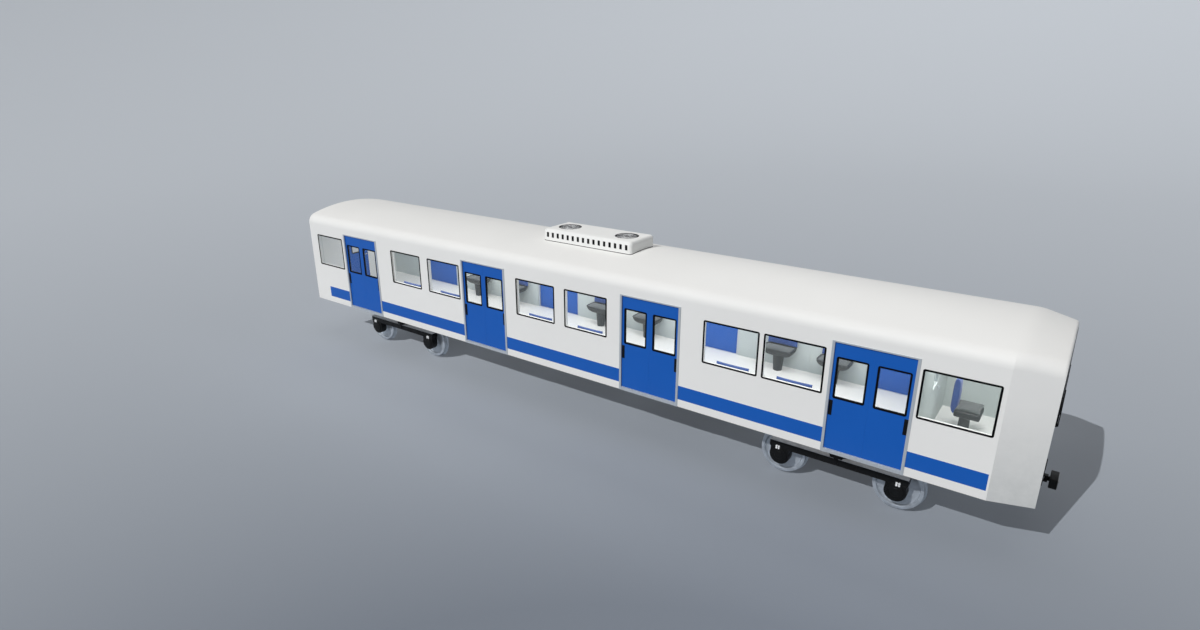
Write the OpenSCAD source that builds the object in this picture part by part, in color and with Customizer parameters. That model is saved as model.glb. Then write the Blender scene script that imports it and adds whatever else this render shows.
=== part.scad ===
// Metro car with a driving cab at +X. Millimetres, +Z up.
// Origin: middle of the plan, at the level on which the wheel flanges stand.

/* [Body] */
// Length of the body over its end faces
body_l = 17800; // [15000:100:21400]
// Width of the body over its side panels
body_w = 2800; // [2300:10:3400]
// Height of the roof's crown above the base
crown_z = 3629; // [3500:1:3900]
// Radius of the roof's arch
roof_r = 4222; // [3000:10:6000]
// Radius where the roof meets the side
eave_r = 250; // [180:5:320]
// Height of the body's lower edge
sill_z = 1039; // [1000:1:1080]
// Height of the floor's top
floor_z = 1214; // [1180:1:1260]
// Thickness of the floor
floor_t = 150; // [100:5:160]
// Thickness of a side wall
wall_t = 100; // [90:1:120]
// Thickness of the wall's outer skin
skin_t = 12; // [8:1:16]
// Thickness of the roof
roof_t = 70; // [50:5:90]
// Thickness of the end walls and of the nose
end_t = 80; // [60:5:100]

/* [Nose] */
// Length of the tapered nose
nose_l = 634; // [500:1:760]
// How far each side comes in over the nose
nose_taper = 197; // [150:1:260]
// How far the crown falls over the nose
nose_drop = 130; // [80:5:180]
// How far the top of the front face leans back
nose_lean = 0; // [0:5:80]
// Bevel of the nose's top edge at the front face
nose_bevel = 40; // [20:5:80]
// Height of the windscreen's lower edge
screen_z = 2372; // [2250:1:2500]
// Margin from the nose's outline to the windscreen
screen_margin = 100; // [80:5:140]
// Thickness of the windscreen at its foot, which stands proud of the nose
screen_t = 24; // [12:1:30]
// Thickness of the windscreen at its top
screen_top_t = 4; // [3:1:12]
// Lap of the windscreen over its opening
screen_lap = 60; // [40:5:80]

/* [Doors] */
// Outer width of a door portal
portal_w = 1366; // [1300:2:1500]
// Width of a portal's upright
portal_strip = 45; // [35:1:60]
// Height of the portal's top
portal_top_z = 3081; // [2980:1:3120]
// How far a portal stands proud of the side
portal_proud = 12; // [6:1:20]
// Height of the sill that the leaves run on
track_z = 1103; // [1090:1:1130]
// Thickness of a door leaf
leaf_t = 34; // [28:1:36]
// Free space on each side of a moving leaf
leaf_gap = 6; // [5:0.5:8]
// Gap between two closed leaves
leaf_meet = 4; // [2:1:8]
// Overlap of a closed leaf with its upright
leaf_lap = 12; // [6:1:20]
// Width of a leaf that still shows when it is open
leaf_show = 38; // [20:2:80]
// Height of a leaf's window
leaf_win_h = 741; // [600:1:800]
// Height of the lower edge of a leaf's window
leaf_win_z = 2061; // [1980:1:2120]
// Distance from the doorway's middle to a leaf's window
leaf_win_x = 73; // [60:1:85]
// Distance from a leaf's window to the portal's upright
leaf_win_side = 53; // [40:1:80]

/* [Windows] */
// Width of a side window
win_w = 1087; // [900:1:1090]
// Height of a side window
win_h = 835; // [700:1:860]
// Height of the windows' lower edge
win_z = 2092; // [2050:1:2160]
// Radius of a window's corners
win_r = 30; // [10:1:60]
// Thickness of the side glass
glass_t = 10; // [5:1:12]

/* [Bogies] */
// Distance of a bogie's centre from the middle of the car
bogie_x = 5875; // [5000:25:6200]
// Distance between a bogie's axles
wheelbase = 2070; // [1900:10:2200]
// Radius of a wheel at its tread
tread_r = 430; // [390:5:460]
// Height of a wheel's flange
flange_h = 28; // [24:1:32]
// Distance between the inner faces of a pair of wheels
back_to_back = 1360; // [1340:1:1380]
// Width of a wheel's rim
rim_w = 130; // [120:1:135]
// Radius of an axle's journal
journal_r = 65; // [50:1:80]
// Half width over a bogie's side beams
beam_y = 1010; // [980:5:1060]
// Width of a side beam
beam_w = 180; // [140:5:186]
// Height of a side beam's underside
beam_z = 602; // [590:1:640]
// Depth of a side beam
beam_h = 145; // [110:5:170]
// Length of a side beam
beam_l = 2460; // [2300:10:2700]
// Radius of an axle box
box_r = 190; // [150:5:210]

/* [Couplers] */
// How far a coupler's head reaches past the body
coupler_reach = 228; // [200:2:300]
// Length of a coupler's head
head_l = 130; // [100:5:150]
// Width of a coupler's head
head_w = 340; // [250:5:360]
// Height of a coupler's head
head_h = 170; // [140:5:200]
// Height of a coupler's centre
coupler_z = 973; // [940:1:990]

/* [Roof unit] */
// Length of the roof unit
unit_l = 2357; // [2000:1:2600]
// Width of the roof unit
unit_w = 900; // [700:10:1000]
// Height of the roof unit above the crown
unit_h = 246; // [200:2:300]
// Place of the roof unit's middle along the car
unit_x = -54; // [-500:1:500]
// Radius of a fan's well
well_r = 260; // [200:5:300]
// Half distance between the fans
fan_x = 768; // [600:1:850]

/* [Cab] */
// Thickness of the bulkhead
bulkhead_t = 40; // [30:1:44]
// Width of the doors in the bulkhead and in the rear end
inner_door_w = 640; // [560:5:700]
// Height of those doors
inner_door_h = 1900; // [1800:5:1950]

/* [Seats] */
// Width of a seat
seat_w = 680; // [600:5:800]
// Depth of a seat
seat_d = 430; // [380:5:480]
// Height of a seat pan's underside above the floor
pan_z = 330; // [300:5:380]
// Height of a seat's back above the floor
seat_top = 905; // [820:5:960]

/* [Hidden] */
$fn = 64;
cut = 1;
touch_gap = 0.3;

half_l = body_l / 2;
half_w = body_w / 2;
inner_w = half_w - wall_t;
nose_x = half_l - nose_l;
lean_a = atan(nose_lean / (crown_z - sill_z));

// Doorway centres along the car, rear to front, measured from the body's ends
door_x = [-half_l + 2174, -half_l + 6620, half_l - 6717, half_l - 2522];
// Side windows. Columns: doorway, side of it that the window is on, distance to its portal
win_table = [
    [0, -1, 87], [0, 1, 553],
    [1, -1, 81], [1, 1, 329],
    [2, -1, 324], [2, 1, 481],
    [3, -1, 87], [3, 1, 47]
];
function win_x(row) =
    door_x[row[0]] + row[1] * (portal_w / 2 + row[2]) - (row[1] < 0 ? win_w : 0);

// Leaf and pocket, measured across the car
leaf_out = half_w - skin_t - leaf_gap;
leaf_in = leaf_out - leaf_t;
pocket_out = leaf_out + leaf_gap;
pocket_in = leaf_in - leaf_gap;
pocket_top = portal_top_z - 22;
leaf_z = track_z + leaf_gap;
leaf_top = pocket_top - leaf_gap;
doorway_w = portal_w - 2 * portal_strip;
leaf_travel = doorway_w / 2 - leaf_show;
leaf_win_w = doorway_w / 2 - leaf_win_x - leaf_win_side;
leaf_w = doorway_w / 2 + leaf_lap - leaf_meet / 2;
pocket_end = doorway_w / 2 + leaf_lap + leaf_travel + leaf_gap;
shoe_l = 40;
shoe_w = 14;

// Axles and wheels
axle_z = tread_r + flange_h;
axle_r = 80;
wheel_in = back_to_back / 2;
wheel_out = wheel_in + rim_w;
journal_end = beam_y - 25;
bolster_z = 900;
bolster_hl = 220;
pin_low = beam_z + 10;
bolster_y = inner_w - 200;
pivot_pin_r = 90;
spring_r = 230;
spring_y = 770;
transom_x = 260;
saddle_hl = 150;
motor_hw = 330;
motor_low = 310;
motor_up = 40;
motor_gap = 100;

// Nose section at the front face
nose_crown = crown_z - nose_drop;
nose_hw = half_w - nose_taper;
bulkhead_x = door_x[3] + portal_w / 2 + 1;

// Points of an arc about [y, z], from angle a0 to a1 in n steps
function arc(y, z, r, a0, a1, n) = [
    for (i = [0:n]) let (a = a0 + (a1 - a0) * i / n) [y + r * cos(a), z + r * sin(a)]
];

// Height at which the side turns into the eave
function eave_z(hw, top, arch, er) =
    top - arch + sqrt(pow(arch - er, 2) - pow(hw - er, 2));

// Cross-section of the body: flat sides, eaves and an arched top
function section(hw, top, arch, er, low) =
    let (ez = eave_z(hw, top, arch, er), turn = acos((hw - er) / (arch - er)))
    concat(
        [[hw, low]],
        arc(hw - er, ez, er, 0, turn, 8),
        [for (p = arc(0, top - arch, arch, turn, 180 - turn, 20)) if (abs(p[0]) < hw - er) p],
        arc(er - hw, ez, er, 180 - turn, 180, 8),
        [[-hw, low]]
    );

cantrail_top = eave_z(half_w, crown_z, roof_r, eave_r);

// Extrudes a cross-section along X from x0 to x1
module along(x0, x1) {
    translate([x0, 0, 0]) rotate([90, 0, 90]) linear_extrude(x1 - x0) children();
}

// Box between two opposite corners
module block(low, high) {
    translate(low) cube([high[0] - low[0], high[1] - low[1], high[2] - low[2]]);
}

// Upright outline in X and Z with rounded corners, cut through from y0 to y1
module window_block(x, w, z, h, r, y0, y1) {
    translate([0, y1, 0]) rotate([90, 0, 0]) linear_extrude(y1 - y0) rounded(x, w, z, h, r);
}

module rounded(x, w, z, h, r) {
    translate([x + r, z]) square([w - 2 * r, h]);
    translate([x, z + r]) square([w, h - 2 * r]);
    for (i = [0, 1], k = [0, 1])
        translate([x + r + i * (w - 2 * r), z + r + k * (h - 2 * r)]) circle(r);
}

// Cylinder whose axis lies across the car, from y0 to y1
module cross_rod(r, y0, y1) {
    translate([0, y1, 0]) rotate([90, 0, 0]) cylinder(r = r, h = y1 - y0);
}

// ---------- body shell ----------

// The front of the floor stops short of the leaning front face
floor_front = half_l - end_t - 5;
// Half width of the floor's front edge, just inside the nose's wall
floor_edge = inner_w - 2 - nose_taper;

module floor() {
    color("dimgray") translate([0, 0, floor_z - floor_t]) linear_extrude(floor_t)
        polygon(concat(
            [[-half_l + end_t, -inner_w], [nose_x, -inner_w]],
            [[floor_front, -floor_edge], [floor_front, floor_edge]],
            [[nose_x, inner_w], [-half_l + end_t, inner_w]]
        ));
}

module bolsters() {
    color("dimgray") for (s = [-1, 1]) translate([s * bogie_x, 0, 0]) {
        block([-bolster_hl, -bolster_y, bolster_z], [bolster_hl, bolster_y, floor_z - floor_t]);
        translate([0, 0, pin_low]) cylinder(r = pivot_pin_r, h = bolster_z - pin_low + cut);
    }
}

// Ends of the panels along the car: the body's end, the portals' edges and the nose
panel_ends = [
    [-half_l + end_t, door_x[0] - portal_w / 2],
    [door_x[0] + portal_w / 2, door_x[1] - portal_w / 2],
    [door_x[1] + portal_w / 2, door_x[2] - portal_w / 2],
    [door_x[2] + portal_w / 2, door_x[3] - portal_w / 2],
    [door_x[3] + portal_w / 2, nose_x]
];

// Panels of the left side, with door pockets and window openings
module side_panels() {
    difference() {
        for (e = panel_ends) block([e[0], inner_w, sill_z], [e[1], half_w, portal_top_z]);
        for (x = door_x)
            block([x - pocket_end, pocket_in, track_z], [x + pocket_end, pocket_out, pocket_top]);
        for (row = win_table)
            window_block(win_x(row), win_w, win_z, win_h, win_r, inner_w - cut, half_w + cut);
    }
}

module left_side_panels() { color("whitesmoke") side_panels(); }
module right_side_panels() { color("whitesmoke") mirror([0, 1, 0]) side_panels(); }

// Portal of one doorway on the left side: sill, head and two uprights with the leaf's slot
module portal() {
    w = portal_w / 2;
    difference() {
        block([-w, inner_w, sill_z], [w, half_w + portal_proud, portal_top_z]);
        block([-doorway_w / 2, inner_w - cut, floor_z], [doorway_w / 2, pocket_in, pocket_top]);
        block([-w - cut, pocket_in, track_z], [w + cut, pocket_out, pocket_top]);
        block([-doorway_w / 2, pocket_out - cut, track_z],
              [doorway_w / 2, half_w + portal_proud + cut, pocket_top]);
    }
}

module door_portals() { for (x = door_x) translate([x, 0, 0]) portal(); }
module left_door_portals() { color("silver") door_portals(); }
module right_door_portals() { color("silver") mirror([0, 1, 0]) door_portals(); }

module cantrails() {
    color("whitesmoke") for (s = [0, 1]) mirror([0, s, 0])
        block([-half_l + end_t, inner_w, portal_top_z], [nose_x, half_w, cantrail_top]);
}

module roof() {
    color("whitesmoke") along(-half_l + end_t, nose_x) difference() {
        polygon(section(half_w, crown_z, roof_r, eave_r, cantrail_top));
        polygon(section(inner_w, crown_z - roof_t, roof_r - roof_t, eave_r - wall_t,
                        cantrail_top - cut));
    }
}

// Thin slab of the nose's cross-section at a share of its length, inset by the walls.
// It leans with its share.
module nose_slab(share, side, top, front, low) {
    translate([nose_x + share * (nose_l - front), 0, sill_z]) rotate([0, -lean_a * share, 0])
        translate([0, 0, -sill_z]) along(-cut, 0)
            polygon(section(half_w - side - nose_taper * share, crown_z - top - nose_drop * share,
                            roof_r - top, eave_r - side, low));
}

// The nose from its root to its face, with its top edge bevelled at the face
module nose_solid() {
    bevel_share = 1 - nose_bevel / nose_l;
    intersection() {
        hull() {
            nose_slab(0, 0, 0, 0, sill_z);
            nose_slab(bevel_share, 0, 0, 0, sill_z);
            nose_slab(1, 0, nose_bevel, 0, sill_z);
        }
        block([nose_x, -half_w, sill_z - cut], [half_l + cut, half_w, crown_z]);
    }
}

// The room inside the nose
module nose_room() {
    hull() {
        nose_slab(0, wall_t, roof_t, end_t, sill_z - 2 * cut);
        nose_slab(1, wall_t, roof_t, end_t, sill_z - 2 * cut);
    }
}

// Windscreen outline on the front face, inset from the nose's outline
module screen_outline(margin) {
    intersection() {
        polygon(section(nose_hw - margin, nose_crown - margin, roof_r - margin,
                        eave_r - 0.4 * margin, sill_z));
        translate([-nose_hw, screen_z + margin - screen_margin])
            square([2 * nose_hw, nose_crown]);
    }
}

// Places a flat outline on the leaning front face, from depth d0 to d1 outwards
module on_face(d0, d1) {
    translate([half_l, 0, sill_z]) rotate([0, -lean_a, 0]) translate([0, 0, -sill_z])
        along(d0, d1) children();
}

module cab_front() {
    color("whitesmoke") difference() {
        nose_solid();
        nose_room();
        on_face(-end_t - 20, 20) screen_outline(screen_margin + screen_lap);
    }
}

// Windscreen, a wedge that is thick at its foot and thin at its top
module windscreen() {
    screen_h = nose_crown - screen_margin - screen_z;
    screen_a = atan((screen_t - screen_top_t) / screen_h);
    color("black") difference() {
        on_face(touch_gap, screen_t) screen_outline(screen_margin);
        translate([half_l, 0, sill_z]) rotate([0, -lean_a, 0])
            translate([screen_t, 0, screen_z - sill_z]) rotate([0, -screen_a, 0])
                block([0, -half_w, -screen_h], [screen_t, half_w, 2 * screen_h]);
    }
}

// Panes of the left side, flush in the outer skin
module glass_panes() {
    for (row = win_table)
        window_block(win_x(row) + touch_gap, win_w - 2 * touch_gap, win_z + touch_gap,
                     win_h - 2 * touch_gap, win_r, half_w - glass_t, half_w);
}

module side_glass() {
    color([0.1, 0.1, 0.12, 0.5]) for (s = [0, 1]) mirror([0, s, 0]) glass_panes();
}

// Door openings in the rear end wall and in the bulkhead
module inner_doorway(x0, x1) {
    block([x0, -inner_door_w / 2, floor_z - cut], [x1, inner_door_w / 2, floor_z + inner_door_h]);
}

// Butt hinges of a swinging door: an axis in the gap at its edge, two hinges on it.
// Each has a door knuckle between two frame knuckles.
door_gap = 5;
knuckle_r = 12;
knuckle_h = 50;
hinge_y = -inner_door_w / 2 + door_gap / 2;
hinge_zs = [floor_z + 250, floor_z + inner_door_h - 450];

module knuckle(r, z, low, high) {
    translate([0, hinge_y, z + low]) cylinder(r = r, h = high - low);
}

module frame_knuckles() {
    for (z = hinge_zs) {
        knuckle(knuckle_r, z, 0, knuckle_h);
        knuckle(knuckle_r, z, 2 * knuckle_h + touch_gap, 3 * knuckle_h);
    }
}

module frame_relief() {
    for (z = hinge_zs)
        knuckle(knuckle_r + door_gap, z, knuckle_h, 2 * knuckle_h + touch_gap);
}

// Swinging door with a window. Its hinge axis is on X = 0 and it lies from X = 0 to -t
module hinged_door(t) {
    w = inner_door_w - 2 * door_gap;
    difference() {
        block([-t, -w / 2, floor_z + door_gap], [0, w / 2, floor_z + inner_door_h - door_gap]);
        translate([-t - cut, 0, 0]) rotate([90, 0, 90]) linear_extrude(t + 2 * cut)
            rounded(-w / 2 + 110, w - 220, win_z, 700, win_r);
        for (z = hinge_zs) {
            knuckle(knuckle_r + door_gap, z, -door_gap, knuckle_h + touch_gap);
            knuckle(knuckle_r + door_gap, z, 2 * knuckle_h, 3 * knuckle_h + door_gap);
        }
    }
    for (z = hinge_zs) knuckle(knuckle_r, z, knuckle_h + touch_gap, 2 * knuckle_h);
}

module rear_end_wall() {
    inner_face = -half_l + end_t;
    color("whitesmoke") difference() {
        along(-half_l, inner_face) polygon(section(half_w, crown_z, roof_r, eave_r, sill_z));
        inner_doorway(-half_l - cut, inner_face + cut);
        translate([inner_face, 0, 0]) frame_relief();
    }
    color("whitesmoke") translate([inner_face, 0, 0]) frame_knuckles();
}

module rear_end_door() {
    color("steelblue") translate([-half_l + end_t, 0, 0]) hinged_door(40);
}

module cab_bulkhead() {
    color("gainsboro") difference() {
        along(bulkhead_x, bulkhead_x + bulkhead_t)
            polygon(section(inner_w, crown_z - roof_t, roof_r - roof_t, eave_r - wall_t, floor_z));
        inner_doorway(bulkhead_x - cut, bulkhead_x + bulkhead_t + cut);
        translate([bulkhead_x, 0, 0]) frame_relief();
    }
    color("gainsboro") translate([bulkhead_x, 0, 0]) frame_knuckles();
}

module cab_door() {
    color("lightsteelblue") translate([bulkhead_x, 0, 0]) mirror([1, 0, 0]) hinged_door(bulkhead_t);
}

// ---------- roof unit ----------

unit_top = crown_z + unit_h;
unit_corner = 60;
unit_foot = 60;
well_depth = 120;
boss_r = 50;
boss_h = 40;
slot_count = 16;
slot_pitch = 140;
slot_w = 60;
slot_h = 110;
slot_z = crown_z + 60;
slot_depth = 25;

module roof_unit() {
    color("whitesmoke") difference() {
        translate([unit_x - unit_l / 2, -unit_w / 2, crown_z - unit_foot])
            linear_extrude(unit_h + unit_foot) rounded(0, unit_l, 0, unit_w, unit_corner);
        along(-half_l, half_l) polygon(section(half_w, crown_z, roof_r, eave_r, sill_z));
        for (s = [-1, 1]) translate([unit_x + s * fan_x, 0, unit_top - well_depth])
            difference() {
                cylinder(r = well_r, h = well_depth + cut);
                translate([0, 0, -cut]) cylinder(r = boss_r, h = boss_h + cut);
            }
        for (i = [0:slot_count - 1], s = [0, 1]) mirror([0, s, 0])
            translate([unit_x + (i - (slot_count - 1) / 2) * slot_pitch - slot_w / 2,
                       unit_w / 2 - slot_depth, slot_z])
                cube([slot_w, slot_depth + cut, slot_h]);
    }
}

// Fan with pitched blades round a hub that stands on its boss
fan_hub_r = 48;
fan_hub_h = 50;
blade_count = 5;
blade = [200, 90, 6];
blade_mid = 140;
blade_pitch = 28;

module fan(x) {
    translate([x, 0, unit_top - well_depth + boss_h + touch_gap]) {
        cylinder(r = fan_hub_r, h = fan_hub_h);
        for (i = [0:blade_count - 1]) rotate([0, 0, i * 360 / blade_count])
            translate([blade_mid, 0, fan_hub_h / 2]) rotate([blade_pitch, 0, 0])
                cube(blade, center = true);
    }
}

module rear_roof_fan() { color("black") fan(unit_x - fan_x); }
module front_roof_fan() { color("black") fan(unit_x + fan_x); }

// ---------- couplers ----------

plate_t = 14;
eye_r = 34;
pin_r = 22;
ear_t = 16;
pivot_x = half_l + plate_t + eye_r + 6;
shank_h = 68;
shank_w = 60;
pocket_w = 300;
pocket_l = 380;
pocket_low = coupler_z - 85;
plate_h = 136;
ear_hw = 40;
ear_reach = 20;

// Fixed pocket under the floor's end with a face plate, two ears and a pivot pin
module coupler_pocket() {
    block([half_l - pocket_l, -pocket_w / 2, pocket_low],
          [half_l - end_t - 10, pocket_w / 2, floor_z - floor_t]);
    block([half_l - end_t - 10 - cut, -pocket_w / 2, pocket_low],
          [half_l + plate_t, pocket_w / 2, sill_z - touch_gap]);
    block([half_l + touch_gap, -pocket_w / 2, sill_z - cut],
          [half_l + plate_t, pocket_w / 2, sill_z + plate_h]);
    for (k = [-1, 1]) translate([0, 0, coupler_z + k * (shank_h / 2 + 6 + ear_t / 2)])
        block([half_l, -ear_hw, -ear_t / 2], [pivot_x + ear_reach, ear_hw, ear_t / 2]);
    translate([pivot_x, 0, coupler_z - shank_h / 2 - 6 - ear_t])
        cylinder(r = pin_r, h = shank_h + 12 + 2 * ear_t);
}

module coupler_pockets() {
    color("black") for (s = [0, 1]) mirror([s, 0, 0]) coupler_pocket();
}

// Coupler head on its shank, with an eye for the pivot pin
module coupler() {
    front = half_l + coupler_reach;
    back = front - head_l;
    difference() {
        union() {
            translate([0, 0, coupler_z]) {
                block([back, -head_w / 2, -head_h / 2], [front, head_w / 2, head_h / 2]);
                block([pivot_x, -shank_w / 2, -shank_h / 2], [back + cut, shank_w / 2, shank_h / 2]);
            }
            translate([pivot_x, 0, coupler_z - shank_h / 2]) cylinder(r = eye_r, h = shank_h);
        }
        translate([pivot_x, 0, coupler_z - shank_h]) cylinder(r = pin_r + touch_gap, h = 2 * shank_h);
    }
}

module front_coupler() { color("black") coupler(); }
module rear_coupler() { color("black") mirror([1, 0, 0]) coupler(); }

// ---------- inside ----------

pan_t = 90;
stem_r = 90;
wall_gap = 30;
cushion_t = 70;
back_t = 78;
pad_inset = 15;
seat_y1 = inner_w - wall_gap;
seat_y0 = seat_y1 - seat_d;
back_y = seat_y1 - 2 - back_t;
seat_windows = [1, 2, 3, 4, 5, 6];

function seat_x(i) = win_x(win_table[i]) + win_w / 2;

module seat_frames() {
    color("dimgray") for (s = [0, 1]) mirror([0, s, 0]) for (i = seat_windows)
        translate([seat_x(i), 0, floor_z]) {
            translate([0, seat_y0 + seat_d / 2, 0]) cylinder(r = stem_r, h = pan_z + cut);
            block([-seat_w / 2, seat_y0, pan_z], [seat_w / 2, seat_y1, pan_z + pan_t]);
        }
}

module seat_pads() {
    low = pan_z + pan_t + touch_gap;
    pad_w = seat_w - 2 * pad_inset;
    color("royalblue") for (s = [0, 1]) mirror([0, s, 0]) for (i = seat_windows)
        translate([seat_x(i), 0, floor_z]) {
            block([-pad_w / 2, seat_y0 + 5, low], [pad_w / 2, back_y - 5, low + cushion_t]);
            block([-pad_w / 2, back_y, low], [pad_w / 2, back_y + back_t, seat_top]);
        }
}

// Driver's seat, measured from the front end and from the middle of the car
driver_x = half_l - 1310;
driver_y = 450;
driver_hw = 230;
driver_pan = [320, 420];
driver_back_t = 90;
driver_top = 980;
driver_stem_r = 90;
driver_back_hw = 130;

module driver_seat() {
    color("dimgray") translate([driver_x, driver_y, floor_z]) {
        cylinder(r = driver_stem_r, h = driver_pan[0] + cut);
        block([-driver_hw, -driver_hw, driver_pan[0]], [driver_hw + 20, driver_hw, driver_pan[1]]);
        block([-driver_hw - 20, -driver_back_hw, driver_pan[1] - cut],
              [driver_back_t - driver_hw - 20, driver_back_hw, driver_top]);
    }
}

desk_y = nose_hw - wall_t - 150;
desk_x = [half_l - 480, half_l - 150];
desk_h = 780;

module driver_desk() {
    color("dimgray") translate([0, 0, floor_z])
        block([desk_x[0], -desk_y, 0], [desk_x[1], desk_y, desk_h]);
}

// ---------- below the floor ----------

// Cases under the floor. Columns: rear end, length
case_table = [[-3600, 1500], [-1400, 1900], [1300, 2200]];
case_hw = 640;
case_z = 790;

module underfloor_cases() {
    color("dimgray") for (row = case_table)
        block([row[0], -case_hw, case_z], [row[0] + row[1], case_hw, floor_z - floor_t]);
}

lamp_z = 1650;
lamp_r = 75;
tail_lamp_r = 60;
lamp_t = 12;
head_lamp_in = 300;
tail_lamp_in = 350;

module head_lights() {
    color("white") on_face(touch_gap, lamp_t)
        for (s = [-1, 1]) translate([s * (nose_hw - head_lamp_in), lamp_z]) circle(lamp_r);
}

module tail_lights() {
    color("red") along(-half_l - lamp_t, -half_l)
        for (s = [-1, 1]) translate([s * (half_w - tail_lamp_in), lamp_z]) circle(tail_lamp_r);
}

// ---------- bogies ----------

// Frame of a bogie: two side beams and a transom with the pivot's bore
module bogie_frame() {
    difference() {
        union() {
            for (s = [0, 1]) mirror([0, s, 0])
                block([-beam_l / 2, beam_y - beam_w, beam_z], [beam_l / 2, beam_y, beam_z + beam_h]);
            block([-transom_x, -beam_y + beam_w - cut, beam_z],
                  [transom_x, beam_y - beam_w + cut, beam_z + beam_h]);
        }
        translate([0, 0, beam_z - cut])
            cylinder(r = pivot_pin_r + touch_gap, h = beam_h + 2 * cut);
    }
}

// Axle boxes under the side beams, one at each journal
module axle_boxes() {
    for (sx = [-1, 1], sy = [0, 1]) mirror([0, sy, 0]) translate([sx * wheelbase / 2, 0, axle_z])
        difference() {
            union() {
                cross_rod(box_r, beam_y - beam_w, beam_y);
                block([-saddle_hl, beam_y - beam_w, 0], [saddle_hl, beam_y, beam_z - axle_z]);
            }
            cross_rod(journal_r + touch_gap, beam_y - beam_w - cut, journal_end + 5);
            block([-beam_l, 0, beam_z - axle_z], [beam_l, beam_y + cut, box_r + cut]);
        }
}

module air_springs() {
    for (s = [-1, 1]) translate([0, s * spring_y, beam_z + beam_h])
        cylinder(r = spring_r, h = bolster_z - beam_z - beam_h - touch_gap);
}

module motors() {
    for (s = [0, 1]) mirror([s, 0, 0])
        block([transom_x, -motor_hw, beam_z - motor_low],
              [wheelbase / 2 - axle_r - motor_gap, motor_hw, beam_z + motor_up]);
}

// Wheelset turned about the Y axis: axle, two flanged wheels and journals
module wheelset() {
    hub_r = 125;
    web_t = 34;
    web_y = wheel_in + 60;
    rotate([90, 0, 0]) rotate_extrude() polygon(concat(
        [[0, -journal_end], [journal_r, -journal_end], [journal_r, -wheel_out - 8]],
        wheel_half(hub_r, web_t, web_y, -1),
        [for (i = [11:-1:0]) wheel_half(hub_r, web_t, web_y, 1)[i]],
        [[journal_r, wheel_out + 8], [journal_r, journal_end], [0, journal_end]]
    ));
}

// Outline of one wheel from its outer hub to the axle, on the side given by s
function wheel_half(hub_r, web_t, web_y, s) = [
    [hub_r, s * (wheel_out + 8)], [hub_r, s * (web_y + web_t / 2 + 20)],
    [tread_r - 75, s * (web_y + web_t / 2)], [tread_r - 60, s * wheel_out],
    [tread_r - 2, s * wheel_out], [tread_r, s * (wheel_out - 60)],
    [tread_r, s * (wheel_in + 32)], [tread_r + flange_h, s * (wheel_in + 18)],
    [tread_r + flange_h, s * (wheel_in + 6)], [tread_r - 60, s * wheel_in],
    [tread_r - 75, s * (web_y - web_t / 2)], [axle_r, s * (wheel_in - 20)]
];

module at_bogie(s) { translate([s * bogie_x, 0, 0]) children(); }
module at_axle(s, k) { translate([s * bogie_x + k * wheelbase / 2, 0, axle_z]) children(); }

module front_bogie_frame() { color("black") at_bogie(1) bogie_frame(); }
module rear_bogie_frame() { color("black") at_bogie(-1) bogie_frame(); }
module front_axle_boxes() { color("black") at_bogie(1) axle_boxes(); }
module rear_axle_boxes() { color("black") at_bogie(-1) axle_boxes(); }
module front_air_springs() { color("black") at_bogie(1) air_springs(); }
module rear_air_springs() { color("black") at_bogie(-1) air_springs(); }
module front_motors() { color("dimgray") at_bogie(1) motors(); }
module rear_motors() { color("dimgray") at_bogie(-1) motors(); }
module front_bogie_lead_axle() { color("silver") at_axle(1, 1) wheelset(); }
module front_bogie_trail_axle() { color("silver") at_axle(1, -1) wheelset(); }
module rear_bogie_lead_axle() { color("silver") at_axle(-1, 1) wheelset(); }
module rear_bogie_trail_axle() { color("silver") at_axle(-1, -1) wheelset(); }

// ---------- door leaves ----------

// Leaf on the front side of a doorway at the left, closed
module leaf() {
    x0 = leaf_meet / 2;
    difference() {
        block([x0, leaf_in, leaf_z], [x0 + leaf_w, leaf_out, leaf_top]);
        window_block(leaf_win_x, leaf_win_w, leaf_win_z, leaf_win_h, win_r, leaf_in - cut, leaf_out + cut);
    }
    for (x = [x0 + 20, x0 + leaf_w - 20 - shoe_l])
        block([x, (leaf_in + leaf_out - shoe_w) / 2, track_z + touch_gap],
              [x + shoe_l, (leaf_in + leaf_out + shoe_w) / 2, leaf_z + cut]);
}

module place_leaf(side, door, front) {
    color("royalblue") translate([door_x[door], 0, 0])
        mirror([0, side == "right" ? 1 : 0, 0]) mirror([front ? 0 : 1, 0, 0]) leaf();
}

floor();
bolsters();
right_side_panels();
left_side_panels();
right_door_portals();
left_door_portals();
cantrails();
roof();
cab_front();
windscreen();
side_glass();
rear_end_wall();
rear_end_door();
cab_bulkhead();
cab_door();
roof_unit();
rear_roof_fan();
front_roof_fan();
coupler_pockets();
front_coupler();
rear_coupler();
seat_frames();
seat_pads();
driver_seat();
driver_desk();
underfloor_cases();
head_lights();
tail_lights();
front_bogie_frame();
front_axle_boxes();
front_air_springs();
front_motors();
front_bogie_lead_axle();
front_bogie_trail_axle();
rear_bogie_frame();
rear_axle_boxes();
rear_air_springs();
rear_motors();
rear_bogie_lead_axle();
rear_bogie_trail_axle();
place_leaf("right", 0, false);  // right_leaf_a_rear
place_leaf("right", 0, true);  // right_leaf_a_front
place_leaf("right", 1, false);  // right_leaf_b_rear
place_leaf("right", 1, true);  // right_leaf_b_front
place_leaf("right", 2, false);  // right_leaf_c_rear
place_leaf("right", 2, true);  // right_leaf_c_front
place_leaf("right", 3, false);  // right_leaf_d_rear
place_leaf("right", 3, true);  // right_leaf_d_front
place_leaf("left", 0, false);  // left_leaf_a_rear
place_leaf("left", 0, true);  // left_leaf_a_front
place_leaf("left", 1, false);  // left_leaf_b_rear
place_leaf("left", 1, true);  // left_leaf_b_front
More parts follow.
